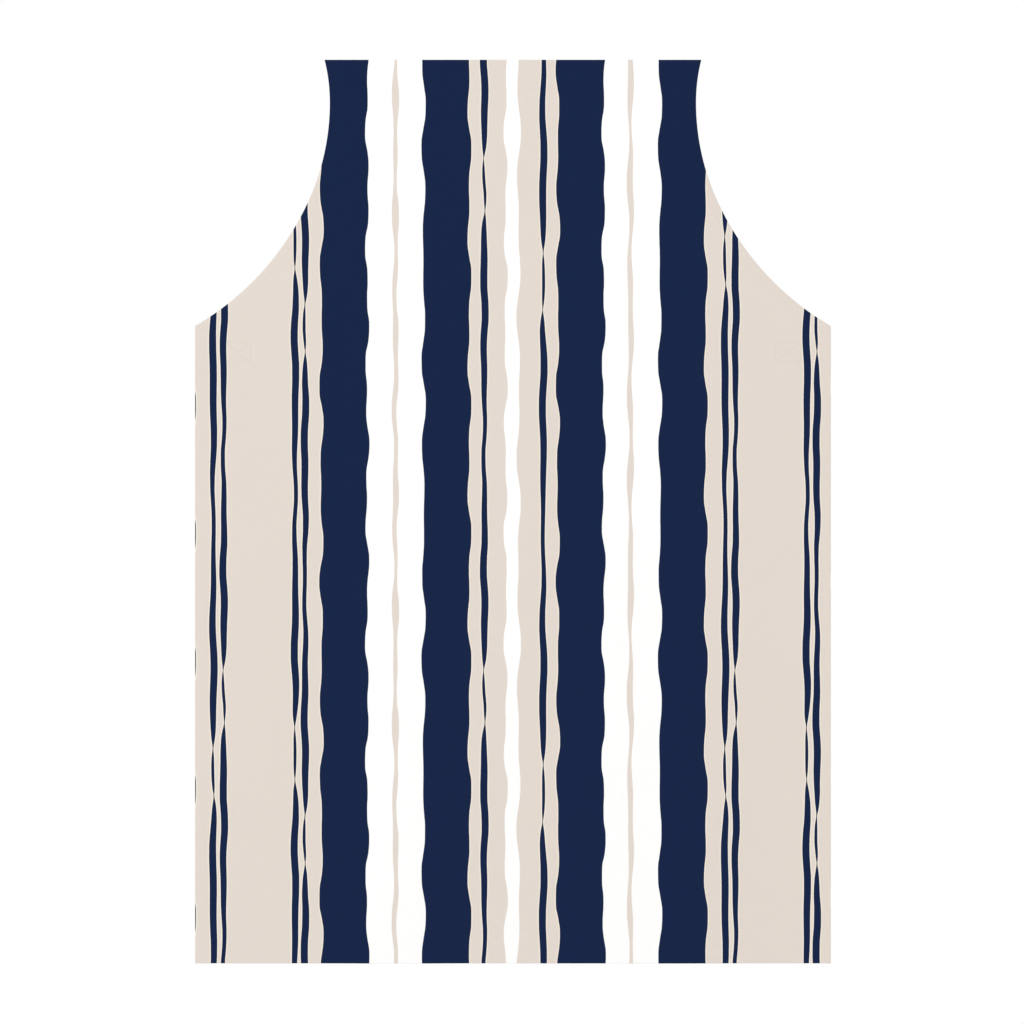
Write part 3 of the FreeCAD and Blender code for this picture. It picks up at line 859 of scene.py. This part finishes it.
def stitch_points(middle, direction, height, side, long, wide):
    """One stitch: a rounded bar that dips into the cloth at both ends. side is -1 in front and 1 behind."""
    normal = np.array([-direction[1], direction[0]])
    rings = ((-0.5, 0.35, -0.1), (-0.36, 0.85, 0.08), (0.0, 1.0, 0.14), (0.36, 0.85, 0.08), (0.5, 0.35, -0.1))
    sides = 6
    points = []
    for share, girth, lift in rings:
        for k in range(sides):
            angle = 2 * math.pi * k / sides
            flat = middle + direction * share * long + normal * math.cos(angle) * wide / 2 * girth
            up = (lift + 0.32 * math.sin(angle) * girth) * wide
            points.append((flat[0], height + side * up, flat[1]))
    faces = []
    for r in range(len(rings) - 1):
        for k in range(sides):
            a, b = r * sides + k, r * sides + (k + 1) % sides
            faces.append((a, b, b + sides, a + sides))
    last = (len(rings) - 1) * sides
    faces += [tuple(range(sides))[::-1], tuple(range(last, last + sides))]
    # A sine runs from the front's +X to -Y, so the winding turns over with the side.
    return points, [f[::-1] for f in faces] if side < 0 else faces


def add_stitches(name, rows, materials, wide=THREAD):
    """rows holds (middle, direction, height, side, long, material index) per stitch."""
    points, faces, material_of = [], [], []
    for middle, direction, height, side, long, material in rows:
        own, quads = stitch_points(middle, direction, height, side, long, wide)
        first = len(points)
        points += own
        faces += [tuple(first + i for i in f) for f in quads]
        material_of += [material] * len(quads)
    uv = [(p[0], p[2]) for p in points]
    return add_mesh(name, points, faces, uv, materials, material_of)


def on_front(middle):
    return float(hang(*middle)) + FRONT_SINK


def on_hem(middle):
    return float(hang(*middle)) + HEM_BACK


def stitch_rows(path, pitch, long, *layers):
    """The stitches along a path. A layer is (height at a point, side it faces, material index)."""
    rows = []
    for middle, direction in along(path, pitch):
        for height, side, material in layers:
            rows.append((middle, direction, height(middle), side, long, material))
    return rows


def seam_rows(path):
    """The stitches of a seam through the cloth: on its front, and on the hem's back."""
    return stitch_rows(path, STITCH_PITCH, STITCH, (on_front, -1, 0), (on_hem, 1, 1))


def seam_line(node, vertical=False):
    """The ends of a straight seam's middle line, from its node's box."""
    low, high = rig.box(node)
    middle = (low + high) / 2
    if vertical:
        return [(middle.x, high.z), (middle.x, low.z)]
    return [(low.x, middle.z), (high.x, middle.z)]


def make_seams(threads):
    made = []
    for name, node in (("stitches_top", "top_hem_seam"), ("stitches_bottom", "bottom_hem_seam")):
        made.append(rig.replaces(add_stitches(name, seam_rows(seam_line(node)), threads), node))
    seam_in = FACING - 2.5 * MM
    for word, side in SIDES:
        node = "side_hem_seam_" + word
        rows = seam_rows(seam_line(node, vertical=True))
        made.append(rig.replaces(add_stitches("stitches_side_" + word, rows, threads), node))
        node = "armhole_seam_" + word
        z = steps_between(armhole_end(seam_in) + 1 * MM, -1 * MM, 2 * MM)
        path = np.stack([side * armhole_x(z, seam_in), z], -1)
        made.append(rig.replaces(add_stitches("stitches_armhole_" + word, seam_rows(path), threads), node))
    return made


def box_rows(low_x, low_z, high_x, high_z, height):
    corners = [(low_x, low_z), (high_x, low_z), (high_x, high_z), (low_x, high_z), (low_x, low_z)]
    runs = [corners[i:i + 2] for i in range(4)]
    runs += [[corners[0], corners[2]], [corners[3], corners[1]]]
    rows = []
    layers = (lambda _: height + BOX_LIFT, 1, 1), (on_front, -1, 0)
    for ends in runs:
        rows += stitch_rows(ends, BOX_PITCH, BOX_STITCH, *layers)
    return rows


def make_boxes(threads):
    inset = 3 * MM
    rows = []
    ends = (("neck_strap_sewn_end", 0), ("neck_tab_sewn_end", 0), ("waist_tie_sewn_end_right", 1),
            ("waist_tie_sewn_end_left", -1))
    for node, spread in ends:
        low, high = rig.box(node)
        x_low, x_high = low.x + inset, high.x - inset
        if spread > 0:
            x_high = high.x - WEB - 1 * MM
        if spread < 0:
            x_low = low.x + WEB + 1 * MM
        rows += box_rows(x_low, low.z + inset, x_high, high.z - inset, high.y)
    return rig.replaces(add_stitches("stitches_boxes", rows, threads, BOX_THREAD), "box_stitching")


def make_patch_stitches(word, side, threads):
    """The row that fells a waist patch's three free edges to the panel. It doesn't reach the printed face."""
    inset = 1.8 * MM
    low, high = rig.box("waist_patch_" + word)
    outer, inner = (high.x, low.x + inset) if side > 0 else (low.x, high.x - inset)
    path = [(outer - side * MM, high.z - inset), (inner, high.z - inset), (inner, low.z + inset),
            (outer - side * MM, low.z + inset)]
    rows = stitch_rows(path, STITCH_PITCH, STITCH, (on_hem, 1, 1))
    return add_stitches("stitches_patch_" + word, rows, threads)


def make_tack(name, node, body, threads):
    """A bar tack: short stitches side by side across the webbing."""
    low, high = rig.box(node)
    z = (low.z + high.z) / 2
    rows = []
    for x in np.arange(low.x + 0.35 * MM, high.x, TACK_PITCH):
        lean = np.array([0.12, 1.0]) / math.hypot(0.12, 1.0)
        rows.append((np.array([x, z]), lean, low.y + 0.02 * MM, 1, high.z - low.z, 1))
    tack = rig.replaces(add_stitches(name, rows, threads), node)
    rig.slot(tack, "sewing_thread")
    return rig.ride(tack, body)


# ---- webbing ----
def tape_section():
    """The webbing's section, (across, through) in order round it, with soft selvedges."""
    half, thick = WEB / 2, WEB_THICK / 2
    right = np.array([1.0, 0.985, 0.95, 0.88, 0.7, 0.5, 0.3, 0.1])
    across = np.concatenate([right, -right[::-1]]) * half
    edge = np.array([0.45, 0.8, 0.96, 1, 1, 1, 1, 1])
    swell = np.concatenate([edge, edge[::-1]]) * thick
    top = list(zip(across, swell))
    low = [(a, -t) for a, t in top[::-1]]
    return top + low


def add_tape(name, rings, lengths, material):
    """A closed skin round rings of points. lengths is how far along the tape each ring, or each point, is."""
    rings = np.asarray(rings)
    count, around = rings.shape[:2]
    across = np.array([a for a, _ in tape_section()])
    along_tape = np.reshape(lengths, (count, -1)) + 0 * across
    uv = np.stack([across + 0 * along_tape, along_tape], -1).reshape(-1, 2)
    faces = []
    for r in range(count - 1):
        for k in range(around):
            a, b = r * around + k, r * around + (k + 1) % around
            faces.append((a, b, b + around, a + around))
    half = around // 2
    for r in (0, count - 1):
        cap = [(r * around + k, r * around + k + 1, r * around + around - 2 - k, r * around + around - 1 - k)
               for k in range(half - 1)]
        faces += cap if r else [c[::-1] for c in cap]
    tape = add_mesh(name, rings.reshape(-1, 3), faces, uv, [material])
    turn_outwards(tape)
    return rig.slot(tape, "cotton_webbing")


def turn_outwards(piece):
    """Turns a closed mesh's faces over if they point inwards."""
    mesh = piece.data
    mesh.calc_loop_triangles()
    volume = 0.0
    for t in mesh.loop_triangles:
        a, b, c = (mesh.vertices[i].co for i in t.vertices)
        volume += a.dot(b.cross(c))
    if volume < 0:
        mesh.flip_normals()


def path_lengths(middles):
    """The length up to each point of a path, or of several side by side."""
    steps = np.linalg.norm(np.diff(middles, axis=0), axis=-1)
    return np.concatenate([np.zeros_like(steps[:1]), np.cumsum(steps, axis=0)])


def tape_rings(middles, across):
    """Rings of the section along a path. across is the direction of the webbing's width at each point."""
    middles, across = np.asarray(middles, float), np.asarray(across, float)
    tangent = np.gradient(middles, axis=0)
    tangent /= np.linalg.norm(tangent, axis=1)[:, None]
    through = np.cross(tangent, across)
    through /= np.linalg.norm(through, axis=1)[:, None]
    section = np.array(tape_section())
    return middles[:, None] + across[:, None] * section[:, :1] + through[:, None] * section[:, 1:]


def arc(y, z, radius, angles):
    """(y, z) points of an arc, angles from +Y towards +Z."""
    return [(y + radius * math.cos(a), z + radius * math.sin(a)) for a in angles]


def run(first, last, step):
    """(y, z) points of a straight run, without its first."""
    count = max(1, int(round(math.dist(first, last) / step)))
    return [tuple(np.array(first) + (np.array(last) - first) * i / count) for i in range(1, count + 1)]


def soften(points, rounds=2):
    """Cuts the corners of an open line and keeps its ends."""
    points = [np.array(p, float) for p in points]
    for _ in range(rounds):
        cut = [points[0]]
        for a, b in zip(points, points[1:]):
            cut += [a * 0.75 + b * 0.25, a * 0.25 + b * 0.75]
        points = cut + [points[-1]]
    return [tuple(p) for p in points]


def middle_of(node, axis):
    """The middle of a node's box along an axis: 0, 1 or 2."""
    return sum(corner[axis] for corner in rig.box(node)) / 2


SEWN_Y = middle_of("neck_strap_sewn_end", 1)
HANG_Y = middle_of("waist_tie_right", 1)
FOLD_Y, FOLD_RADIUS = (SEWN_Y + HANG_Y) / 2, (HANG_Y - SEWN_Y) / 2
NECK_X = middle_of("neck_strap_sewn_end", 0)
NECK_SEWN_LOW, NECK_PIVOT_Z = (corner.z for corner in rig.box("neck_strap_sewn_end"))
NECK_LOOP_LOW, LOOP_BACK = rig.box("neck_strap")[0].z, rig.box("neck_strap")[1].y
RETURN_Y = middle_of("neck_strap_return_ply", 1)
RETURN_LOW, RING_LOW_Z = (corner.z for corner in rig.box("neck_strap_return_ply"))
RING_Y = middle_of("neck_ring", 1)
WIRE = (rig.box("neck_ring")[1].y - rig.box("neck_ring")[0].y) / 2
WRAP = RETURN_Y - RING_Y
RING_TOP_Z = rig.box("neck_ring")[1].z - WIRE
TAB_RETURN_TOP = -7.0 * MM
PLY_GAP = WEB_THICK + 0.05 * MM
NECK_STRAIGHT_LOW = -130.0 * MM
TWIST_SHARE = 0.27  # of the hanging loop, spent at each end on its quarter turn
SLIDER_Z = middle_of("neck_slider", 2)
SLIDER_BAR_Y = HANG_Y + WEB_THICK + 0.3 * MM + WRAP
STRAP_STEP = 4 * MM  # between a strap's rings where it runs straight
LONG_STRAP_SLANT = 0.0155
TURNED_THICKNESS = 0.96  # of a tie's turned-up end, so that its plies don't share a face
FOLD_ANGLES = [math.radians(turn) for turn in (180, 165, 150, 135, 90, 45, 30, 15, 0)]
FOLD_INSIDE = 1.25 * MM
FOLD_NARROW = 0.02
FOLD_PRESS = 0.1 * MM


def fold_section(angle, facing):
    """The section at one angle of a fold, as (across, out from the fold's axis).

    It is pressed thin and narrow at the fold's top, so that this part stays hidden inside the rest of the
    tape when a joint opens the fold and lays it back on itself.
    """
    section = np.array(tape_section())
    least = min((FOLD_RADIUS - WEB_THICK / 2) / max(abs(math.cos(angle)), 0.1), FOLD_INSIDE)
    most = FOLD_RADIUS + WEB_THICK / 2 - FOLD_PRESS * math.sin(angle) ** 2
    across = section[:, 0] * (1 - FOLD_NARROW * math.sin(angle))
    return across, np.clip(FOLD_RADIUS + facing * section[:, 1], least, most)


def press_neck_fold(rings, facing):
    """Gives a neck strap's rings the fold's section. facing is 1 for the long strap and -1 for the tab."""
    first = len(neck_fold_path()) - len(FOLD_ANGLES)
    for i, angle in enumerate(FOLD_ANGLES):
        across, out = fold_section(angle, facing)
        rings[first + i, :, 0] = rings[first + i, :, 0].mean() - facing * across
        rings[first + i, :, 1] = FOLD_Y + out * math.cos(angle)
        rings[first + i, :, 2] = NECK_PIVOT_Z + out * math.sin(angle)
    return rings


def neck_fold_path():
    """(y, z) from a sewn end's lower edge up and over the fold, to the top of the hanging end."""
    sewn = [(SEWN_Y, NECK_SEWN_LOW)] + run((SEWN_Y, NECK_SEWN_LOW), (SEWN_Y, NECK_PIVOT_Z), STRAP_STEP)
    return sewn[:-1] + arc(FOLD_Y, NECK_PIVOT_Z, FOLD_RADIUS, FOLD_ANGLES)


def blend_at_fold(piece, child, slant):
    """Joins a neck strap's sewn end to its hanging end. The direction slants as its lower parts need."""
    least = HANG_Y - WEB_THICK / 2 + slant * -NECK_PIVOT_Z
    most = SEWN_Y + WEB_THICK / 2 + slant * -NECK_SEWN_LOW
    size = (least - most) / (1 + slant ** 2)
    start = Vector((0, SEWN_Y + WEB_THICK / 2, NECK_SEWN_LOW))
    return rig.blend(piece, "apron", child, start=start, end=start + Vector((0, size, -slant * size)))


def make_long_strap(material):
    """From its sewn end on the right, round the hanging loop, and up to its turn over the ring's bar."""
    middles, across = [], []
    for y, z in neck_fold_path() + run((HANG_Y, NECK_PIVOT_Z), (HANG_Y, NECK_STRAIGHT_LOW), STRAP_STEP):
        middles.append((NECK_X, y, z))
        across.append((-1.0, 0, 0))
    drop = NECK_STRAIGHT_LOW - NECK_LOOP_LOW - WEB_THICK / 2
    loop_y = LOOP_BACK - WEB / 2
    count = 120
    for i in range(1, count):
        share = 1 - i / count
        angle = math.pi * share
        along_loop = np.array([NECK_X * math.sin(angle), 0, -drop * math.cos(angle)])
        along_loop /= np.linalg.norm(along_loop)
        near = min(1.0, share / TWIST_SHARE, (1 - share) / TWIST_SHARE)
        twist = math.pi / 2 * near ** 2 * (3 - 2 * near)
        y = HANG_Y + (loop_y - HANG_Y) * math.sin(twist)
        middles.append((-NECK_X * math.cos(angle), y, NECK_STRAIGHT_LOW - drop * math.sin(angle)))
        back = np.array([0, 1.0, 0])
        across.append(np.cross(along_loop, back) * math.cos(twist) + back * math.sin(twist))
    rise = [(HANG_Y, NECK_STRAIGHT_LOW)] + run((HANG_Y, NECK_STRAIGHT_LOW), (HANG_Y, RING_LOW_Z), STRAP_STEP)
    for y, z in rise[:-1] + arc(RING_Y, RING_LOW_Z, WRAP, np.linspace(math.pi, 0, 14)):
        middles.append((-NECK_X, y, z))
        across.append((1.0, 0, 0))
    lengths = path_lengths(middles)
    strap = add_tape("neck_strap_tape", press_neck_fold(tape_rings(middles, across), 1), lengths, material)
    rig.replaces(strap, "neck_strap", "neck_strap_sewn_end", "neck_strap_fold")
    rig.sheet(strap, flat=(WEB, float(lengths[-1])), held="hung", rests_on=["neck_ring"])
    return blend_at_fold(strap, "neck_strap", LONG_STRAP_SLANT)


def make_tab(material):
    """The short strap on the left: from its sewn end, over the fold, and round the ring's upper bar."""
    lean, y_return = math.radians(18), HANG_Y + PLY_GAP
    z_meet = RING_TOP_Z + (WRAP - (y_return - RING_Y) * math.cos(lean)) / math.sin(lean)
    turn = arc(RING_Y, RING_TOP_Z, WRAP, np.linspace(math.pi, 2 * math.pi + lean, 16))
    up = soften([turn[-1], (y_return, z_meet), (y_return, TAB_RETURN_TOP)], 3)
    points = neck_fold_path() + run((HANG_Y, NECK_PIVOT_Z), (HANG_Y, RING_TOP_Z), 3 * MM)[:-1] + turn + up[1:]
    middles = [(-NECK_X, y, z) for y, z in points]
    lengths = path_lengths(middles)
    rings = press_neck_fold(tape_rings(middles, [(1.0, 0, 0)] * len(middles)), -1)
    tab = add_tape("neck_tab_tape", rings, lengths, material)
    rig.replaces(tab, "neck_tab", "neck_tab_sewn_end", "neck_tab_fold")
    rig.sheet(tab, flat=(WEB, float(lengths[-1])), held="folded", rests_on=["neck_ring"])
    return blend_at_fold(tab, "neck_strap", 0.0)


def make_strap_end(material):
    """The long strap's end behind itself: from the ring down, round the slider's bar, and sewn to itself."""
    rear, front = RETURN_Y, RETURN_Y - PLY_GAP
    rear_lean, front_lean = math.radians(12), math.radians(172)

    def lean_height(angle, y):
        return SLIDER_Z + (WRAP - (y - SLIDER_BAR_Y) * math.cos(angle)) / math.sin(angle)

    turn = arc(SLIDER_BAR_Y, SLIDER_Z, WRAP, np.linspace(rear_lean, front_lean - 2 * math.pi, 18))
    down = soften([(rear, RETURN_LOW), (rear, lean_height(rear_lean, rear)), turn[0]], 3)
    up = soften([turn[-1], (front, lean_height(front_lean, front)), (front, RETURN_LOW - 1.5 * MM)], 3)
    ply = [(rear, RING_LOW_Z)] + run((rear, RING_LOW_Z), (rear, RETURN_LOW), 3 * MM)
    points = ply + down[1:] + turn[1:] + up[1:]
    middles = [(-NECK_X, y, z) for y, z in points]
    lengths = path_lengths(middles)
    rings = tape_rings(middles, [(1.0, 0, 0)] * len(middles))
    end = add_tape("neck_strap_end_tape", rings, lengths, material)
    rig.replaces(end, "neck_strap_return_ply", "neck_strap_end_loop")
    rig.sheet(end, flat=(WEB, float(lengths[-1])), held="folded", rests_on=["neck_ring", "neck_slider"])
    top, low = (0, rear, RING_LOW_Z - 1 * MM), (0, rear, RETURN_LOW)
    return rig.blend(end, "neck_strap", "neck_slider", start=top, end=low)


def make_waist_tie(word, side, material):
    """A tie: sewn end, slanting fold, hanging length and turned-up end. The left one mirrors the right."""
    low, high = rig.box("waist_tie_sewn_end_right")
    sewn_x, z_mid = low.x, (low.z + high.z) / 2
    tie_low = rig.box("waist_tie_right")[0].z
    hem_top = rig.box("waist_tie_end_hem_right")[1].z
    x_mid = high.x - WEB / 2
    section = np.array(tape_section())
    w, t = section[:, 0], section[:, 1]
    crease = np.stack([x_mid - w, 0 * w, z_mid + w], -1)
    out = np.array([1, 0, 1]) / math.sqrt(2)
    back, up = np.array([0, 1.0, 0]), np.array([0, 0, 1.0])
    rings, middles = [], []

    def ring(centres, normal):
        rings.append(centres + t[:, None] * normal)
        middles.append(centres)

    for f in np.linspace(0, 1, 9)[:-1]:
        x = sewn_x + f * (crease[:, 0] - sewn_x)
        ring(np.stack([x, 0 * w + SEWN_Y, crease[:, 2]], -1), -back)
    for angle in FOLD_ANGLES:
        around = out * math.sin(angle) + back * math.cos(angle)
        across, reach = fold_section(angle, 1)
        on_crease = np.stack([x_mid - across, 0 * across + FOLD_Y, z_mid + across], -1)
        rings.append(on_crease + reach[:, None] * around)
        middles.append(crease + back * FOLD_Y + around * FOLD_RADIUS)
    turn_z = tie_low + WEB_THICK
    for g in np.linspace(0, 1, 130)[1:]:
        z = crease[:, 2] + g * (turn_z - crease[:, 2])
        sway = 0.5 * MM * g * (1 - np.cos(7 * g)) * (1 - g ** 12)
        ring(np.stack([crease[:, 0], HANG_Y + sway + 0 * w, z], -1), back)
    radius = WEB_THICK / 2
    for angle in np.linspace(0, math.pi, 9)[1:]:
        y, z = HANG_Y + radius * (1 - math.cos(angle)), turn_z - radius * math.sin(angle)
        inwards = back * math.cos(angle) + up * math.sin(angle)
        ring(np.stack([crease[:, 0], y + 0 * w, z + 0 * w], -1), inwards * TURNED_THICKNESS)
    for z in np.linspace(turn_z, hem_top, 6)[1:]:
        ring(np.stack([crease[:, 0], HANG_Y + 2 * radius + 0 * w, z + 0 * w], -1), -back * TURNED_THICKNESS)
    rings = np.array(rings) * (side, 1, 1)
    lengths = path_lengths(middles)
    tie = add_tape("waist_tie_tape_" + word, rings, lengths, material)
    long = float(lengths[-1].mean())
    parts = [f"waist_tie_{part}_{word}" for part in ("sewn_end", "fold", "end_hem")]
    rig.replaces(tie, *parts, "waist_tie_" + word)
    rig.sheet(tie, flat=(WEB, long), held="hung", rests_on=["apron_panel"])
    start = (0, SEWN_Y + WEB_THICK / 2, 0)
    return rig.blend(tie, "apron", "waist_tie_" + word, start=start, end=(0, HANG_Y - WEB_THICK / 2, 0))


def make_tie_stitches(word, threads):
    """The row that holds a tie's turned-up end, seen on both sides of the webbing."""
    low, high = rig.box("waist_tie_end_hem_" + word)
    rows = []
    for z in (high.z - 2.5 * MM, high.z - 5.5 * MM):
        ends = [(low.x + 2 * MM, z), (high.x - 2 * MM, z)]
        layers = (lambda _: high.y, 1, 1), (lambda _: low.y - WEB_THICK, -1, 1)
        rows += stitch_rows(ends, BOX_PITCH, BOX_STITCH, *layers)
    stitches = add_stitches("stitches_tie_" + word, rows, threads, BOX_THREAD)
    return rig.ride(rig.slot(stitches, "sewing_thread"), "waist_tie_" + word)


def make_label(material):
    """The blank care label. It comes out from under the top hem, and its free end curls back a little."""
    low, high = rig.box("care_label")
    thick = high.y - low.y
    tucked_z, tucked_y = TOP_HEM_LOW + 0.1 * MM, (CLOTH + HEM_BACK - thick) / 2
    out_z = TOP_HEM_LOW - 2.2 * MM
    z = np.concatenate([np.linspace(tucked_z, out_z, 8), np.linspace(out_z, low.z, 40)[1:]])[:, None]
    x, z = as_grid(np.linspace(low.x, high.x, 24)[None, :], z)
    down = np.clip((out_z - z) / (out_z - low.z), 0, 1)
    cross = (x - (low.x + high.x) / 2) / (high.x - low.x)
    curl = 1.6 * MM * down ** 3 + 0.2 * MM * down * np.cos(2 * np.pi * cross)
    out = np.clip((tucked_z - z) / (tucked_z - out_z), 0, 1)
    out = out ** 2 * (3 - 2 * out)
    y = tucked_y + (low.y - tucked_y) * out + curl
    label = add_slab("care_label_tape", x, z, y, y + thick, (x, z), [material])
    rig.replaces(label, "care_label")
    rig.sheet(label, flat=(high.x - low.x, tucked_z - low.z), held="hung", rests_on=["hem_top"])
    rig.slot(label, "label_tape")
    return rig.blend(label, "apron", "care_label", start=(0, 0, tucked_z), end=(0, 0, out_z))


# ---- the studio ----
PHOTO_HEIGHT = 982.4 * MM  # what the photo's frame takes in at the apron
CAMERA_AWAY = 8.0
SENSOR = 36.0


def make_camera():
    """Square on to the panel, from far enough for almost no perspective."""
    data = bpy.data.cameras.new("camera")
    data.sensor_width = SENSOR
    data.lens = SENSOR * CAMERA_AWAY / PHOTO_HEIGHT
    camera = bpy.data.objects.new("camera", data)
    camera.location = (-0.9 * MM, -CAMERA_AWAY, -LENGTH / 2 - 0.4 * MM)
    camera.rotation_euler = (math.pi / 2, 0, 0)
    bpy.context.scene.collection.objects.link(camera)
    bpy.context.scene.camera = camera


def make_light(name, place, size, power):
    data = bpy.data.lights.new(name, "AREA")
    data.size, data.energy = size, power
    light = bpy.data.objects.new(name, data)
    light.location = place
    light.rotation_euler = (Vector((0, 0, -LENGTH / 2)) - Vector(place)).to_track_quat("-Z", "Y").to_euler()
    bpy.context.scene.collection.objects.link(light)


def make_studio():
    make_light("key", (-2.6, -3.4, 1.6), 2.2, 38.0)
    make_light("back", (2.4, 3.2, 1.4), 2.0, 24.0)
    world = bpy.data.worlds.new("studio")
    world.use_nodes = True
    nodes = Nodes(world.node_tree)
    seen = nodes.add("ShaderNodeLightPath", output="Is Camera Ray")
    strength = nodes.add("ShaderNodeMapRange", {"Value": seen, "To Min": 0.95, "To Max": 1.0})
    background = nodes.add("ShaderNodeBackground", {"Color": (1, 1, 1, 1), "Strength": strength})
    nodes.add("ShaderNodeOutputWorld", {"Surface": background}, output=slice(0))
    bpy.context.scene.world = world
    bpy.context.scene.view_settings.view_transform = "Standard"


def make_floor():
    radius, z, count = 2.4, -1.2, 96
    angles = np.linspace(0, 2 * math.pi, count + 1)[:-1]
    points = [(radius * math.cos(a), radius * math.sin(a), z) for a in angles]
    material, nodes = new_material("floor_paint")
    place = nodes.add("ShaderNodeTexCoord", output="Object")
    colour = nodes.mix(nodes.noise(place, 6.0, 3.0), srgb(238, 237, 234), srgb(243, 242, 240))
    nodes.surface({"Base Color": colour, "Roughness": 0.8})
    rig.stage(add_mesh("floor", points, [tuple(range(count))], [p[:2] for p in points], [material]))


# ---- everything together ----
make_camera()
make_studio()
make_floor()

stripes = make_print_group()
printed, cloth_back = make_printed_cloth(stripes), make_cloth_back(stripes)
webbing, label_tape, nickel = make_webbing(), make_label_tape(), make_nickel()
threads = [make_thread("thread_printed", lambda nodes: nodes.add("ShaderNodeGroup", node_tree=stripes)),
           make_thread("thread_natural", lambda nodes: srgb(244, 240, 232))]

panel = make_panel(printed, cloth_back)
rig.replaces(panel, "body_cloth")
hems = make_hems(printed)
nodes_of_hems = ["top_hem", "bottom_hem", "side_hem_right", "armhole_facing_right", "side_hem_left",
                 "armhole_facing_left"]
for hem, node in zip(hems, nodes_of_hems):
    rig.replaces(hem, node)
for word, side in SIDES:
    patch = make_patch(word, side, printed)
    hems.append(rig.replaces(patch, "waist_patch_" + word))
for cloth in [panel] + hems:
    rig.ride(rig.slot(cloth, "printed_cloth"), "apron")

seams = make_seams(threads) + [make_boxes(threads)]
seams += [make_patch_stitches(word, side, threads) for word, side in SIDES]
for seam in seams:
    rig.ride(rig.slot(seam, "sewing_thread"), "apron")
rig.sheet(panel, flat=(2 * HALF, LENGTH), area=0.4795, held="hung", rests_on=["neck_strap_tape"],
         with_pieces=hems + seams)

make_long_strap(webbing)
make_tab(webbing)
make_strap_end(webbing)
make_tack("stitches_tab", "neck_tab_tack", "neck_strap", threads)
make_tack("stitches_end_loop", "end_loop_tack", "neck_slider", threads)
for word, side in SIDES:
    make_waist_tie(word, side, webbing)
    make_tie_stitches(word, threads)
make_label(label_tape)

for node in ("neck_ring", "neck_slider"):
    metal = frame["nodes"][node]
    metal.data.materials.clear()
    metal.data.materials.append(nickel)

look_low, look_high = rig.bounds()
with open("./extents.json", "w") as file:
    json.dump([list(cad_low), list(cad_high), list(look_low), list(look_high)], file)
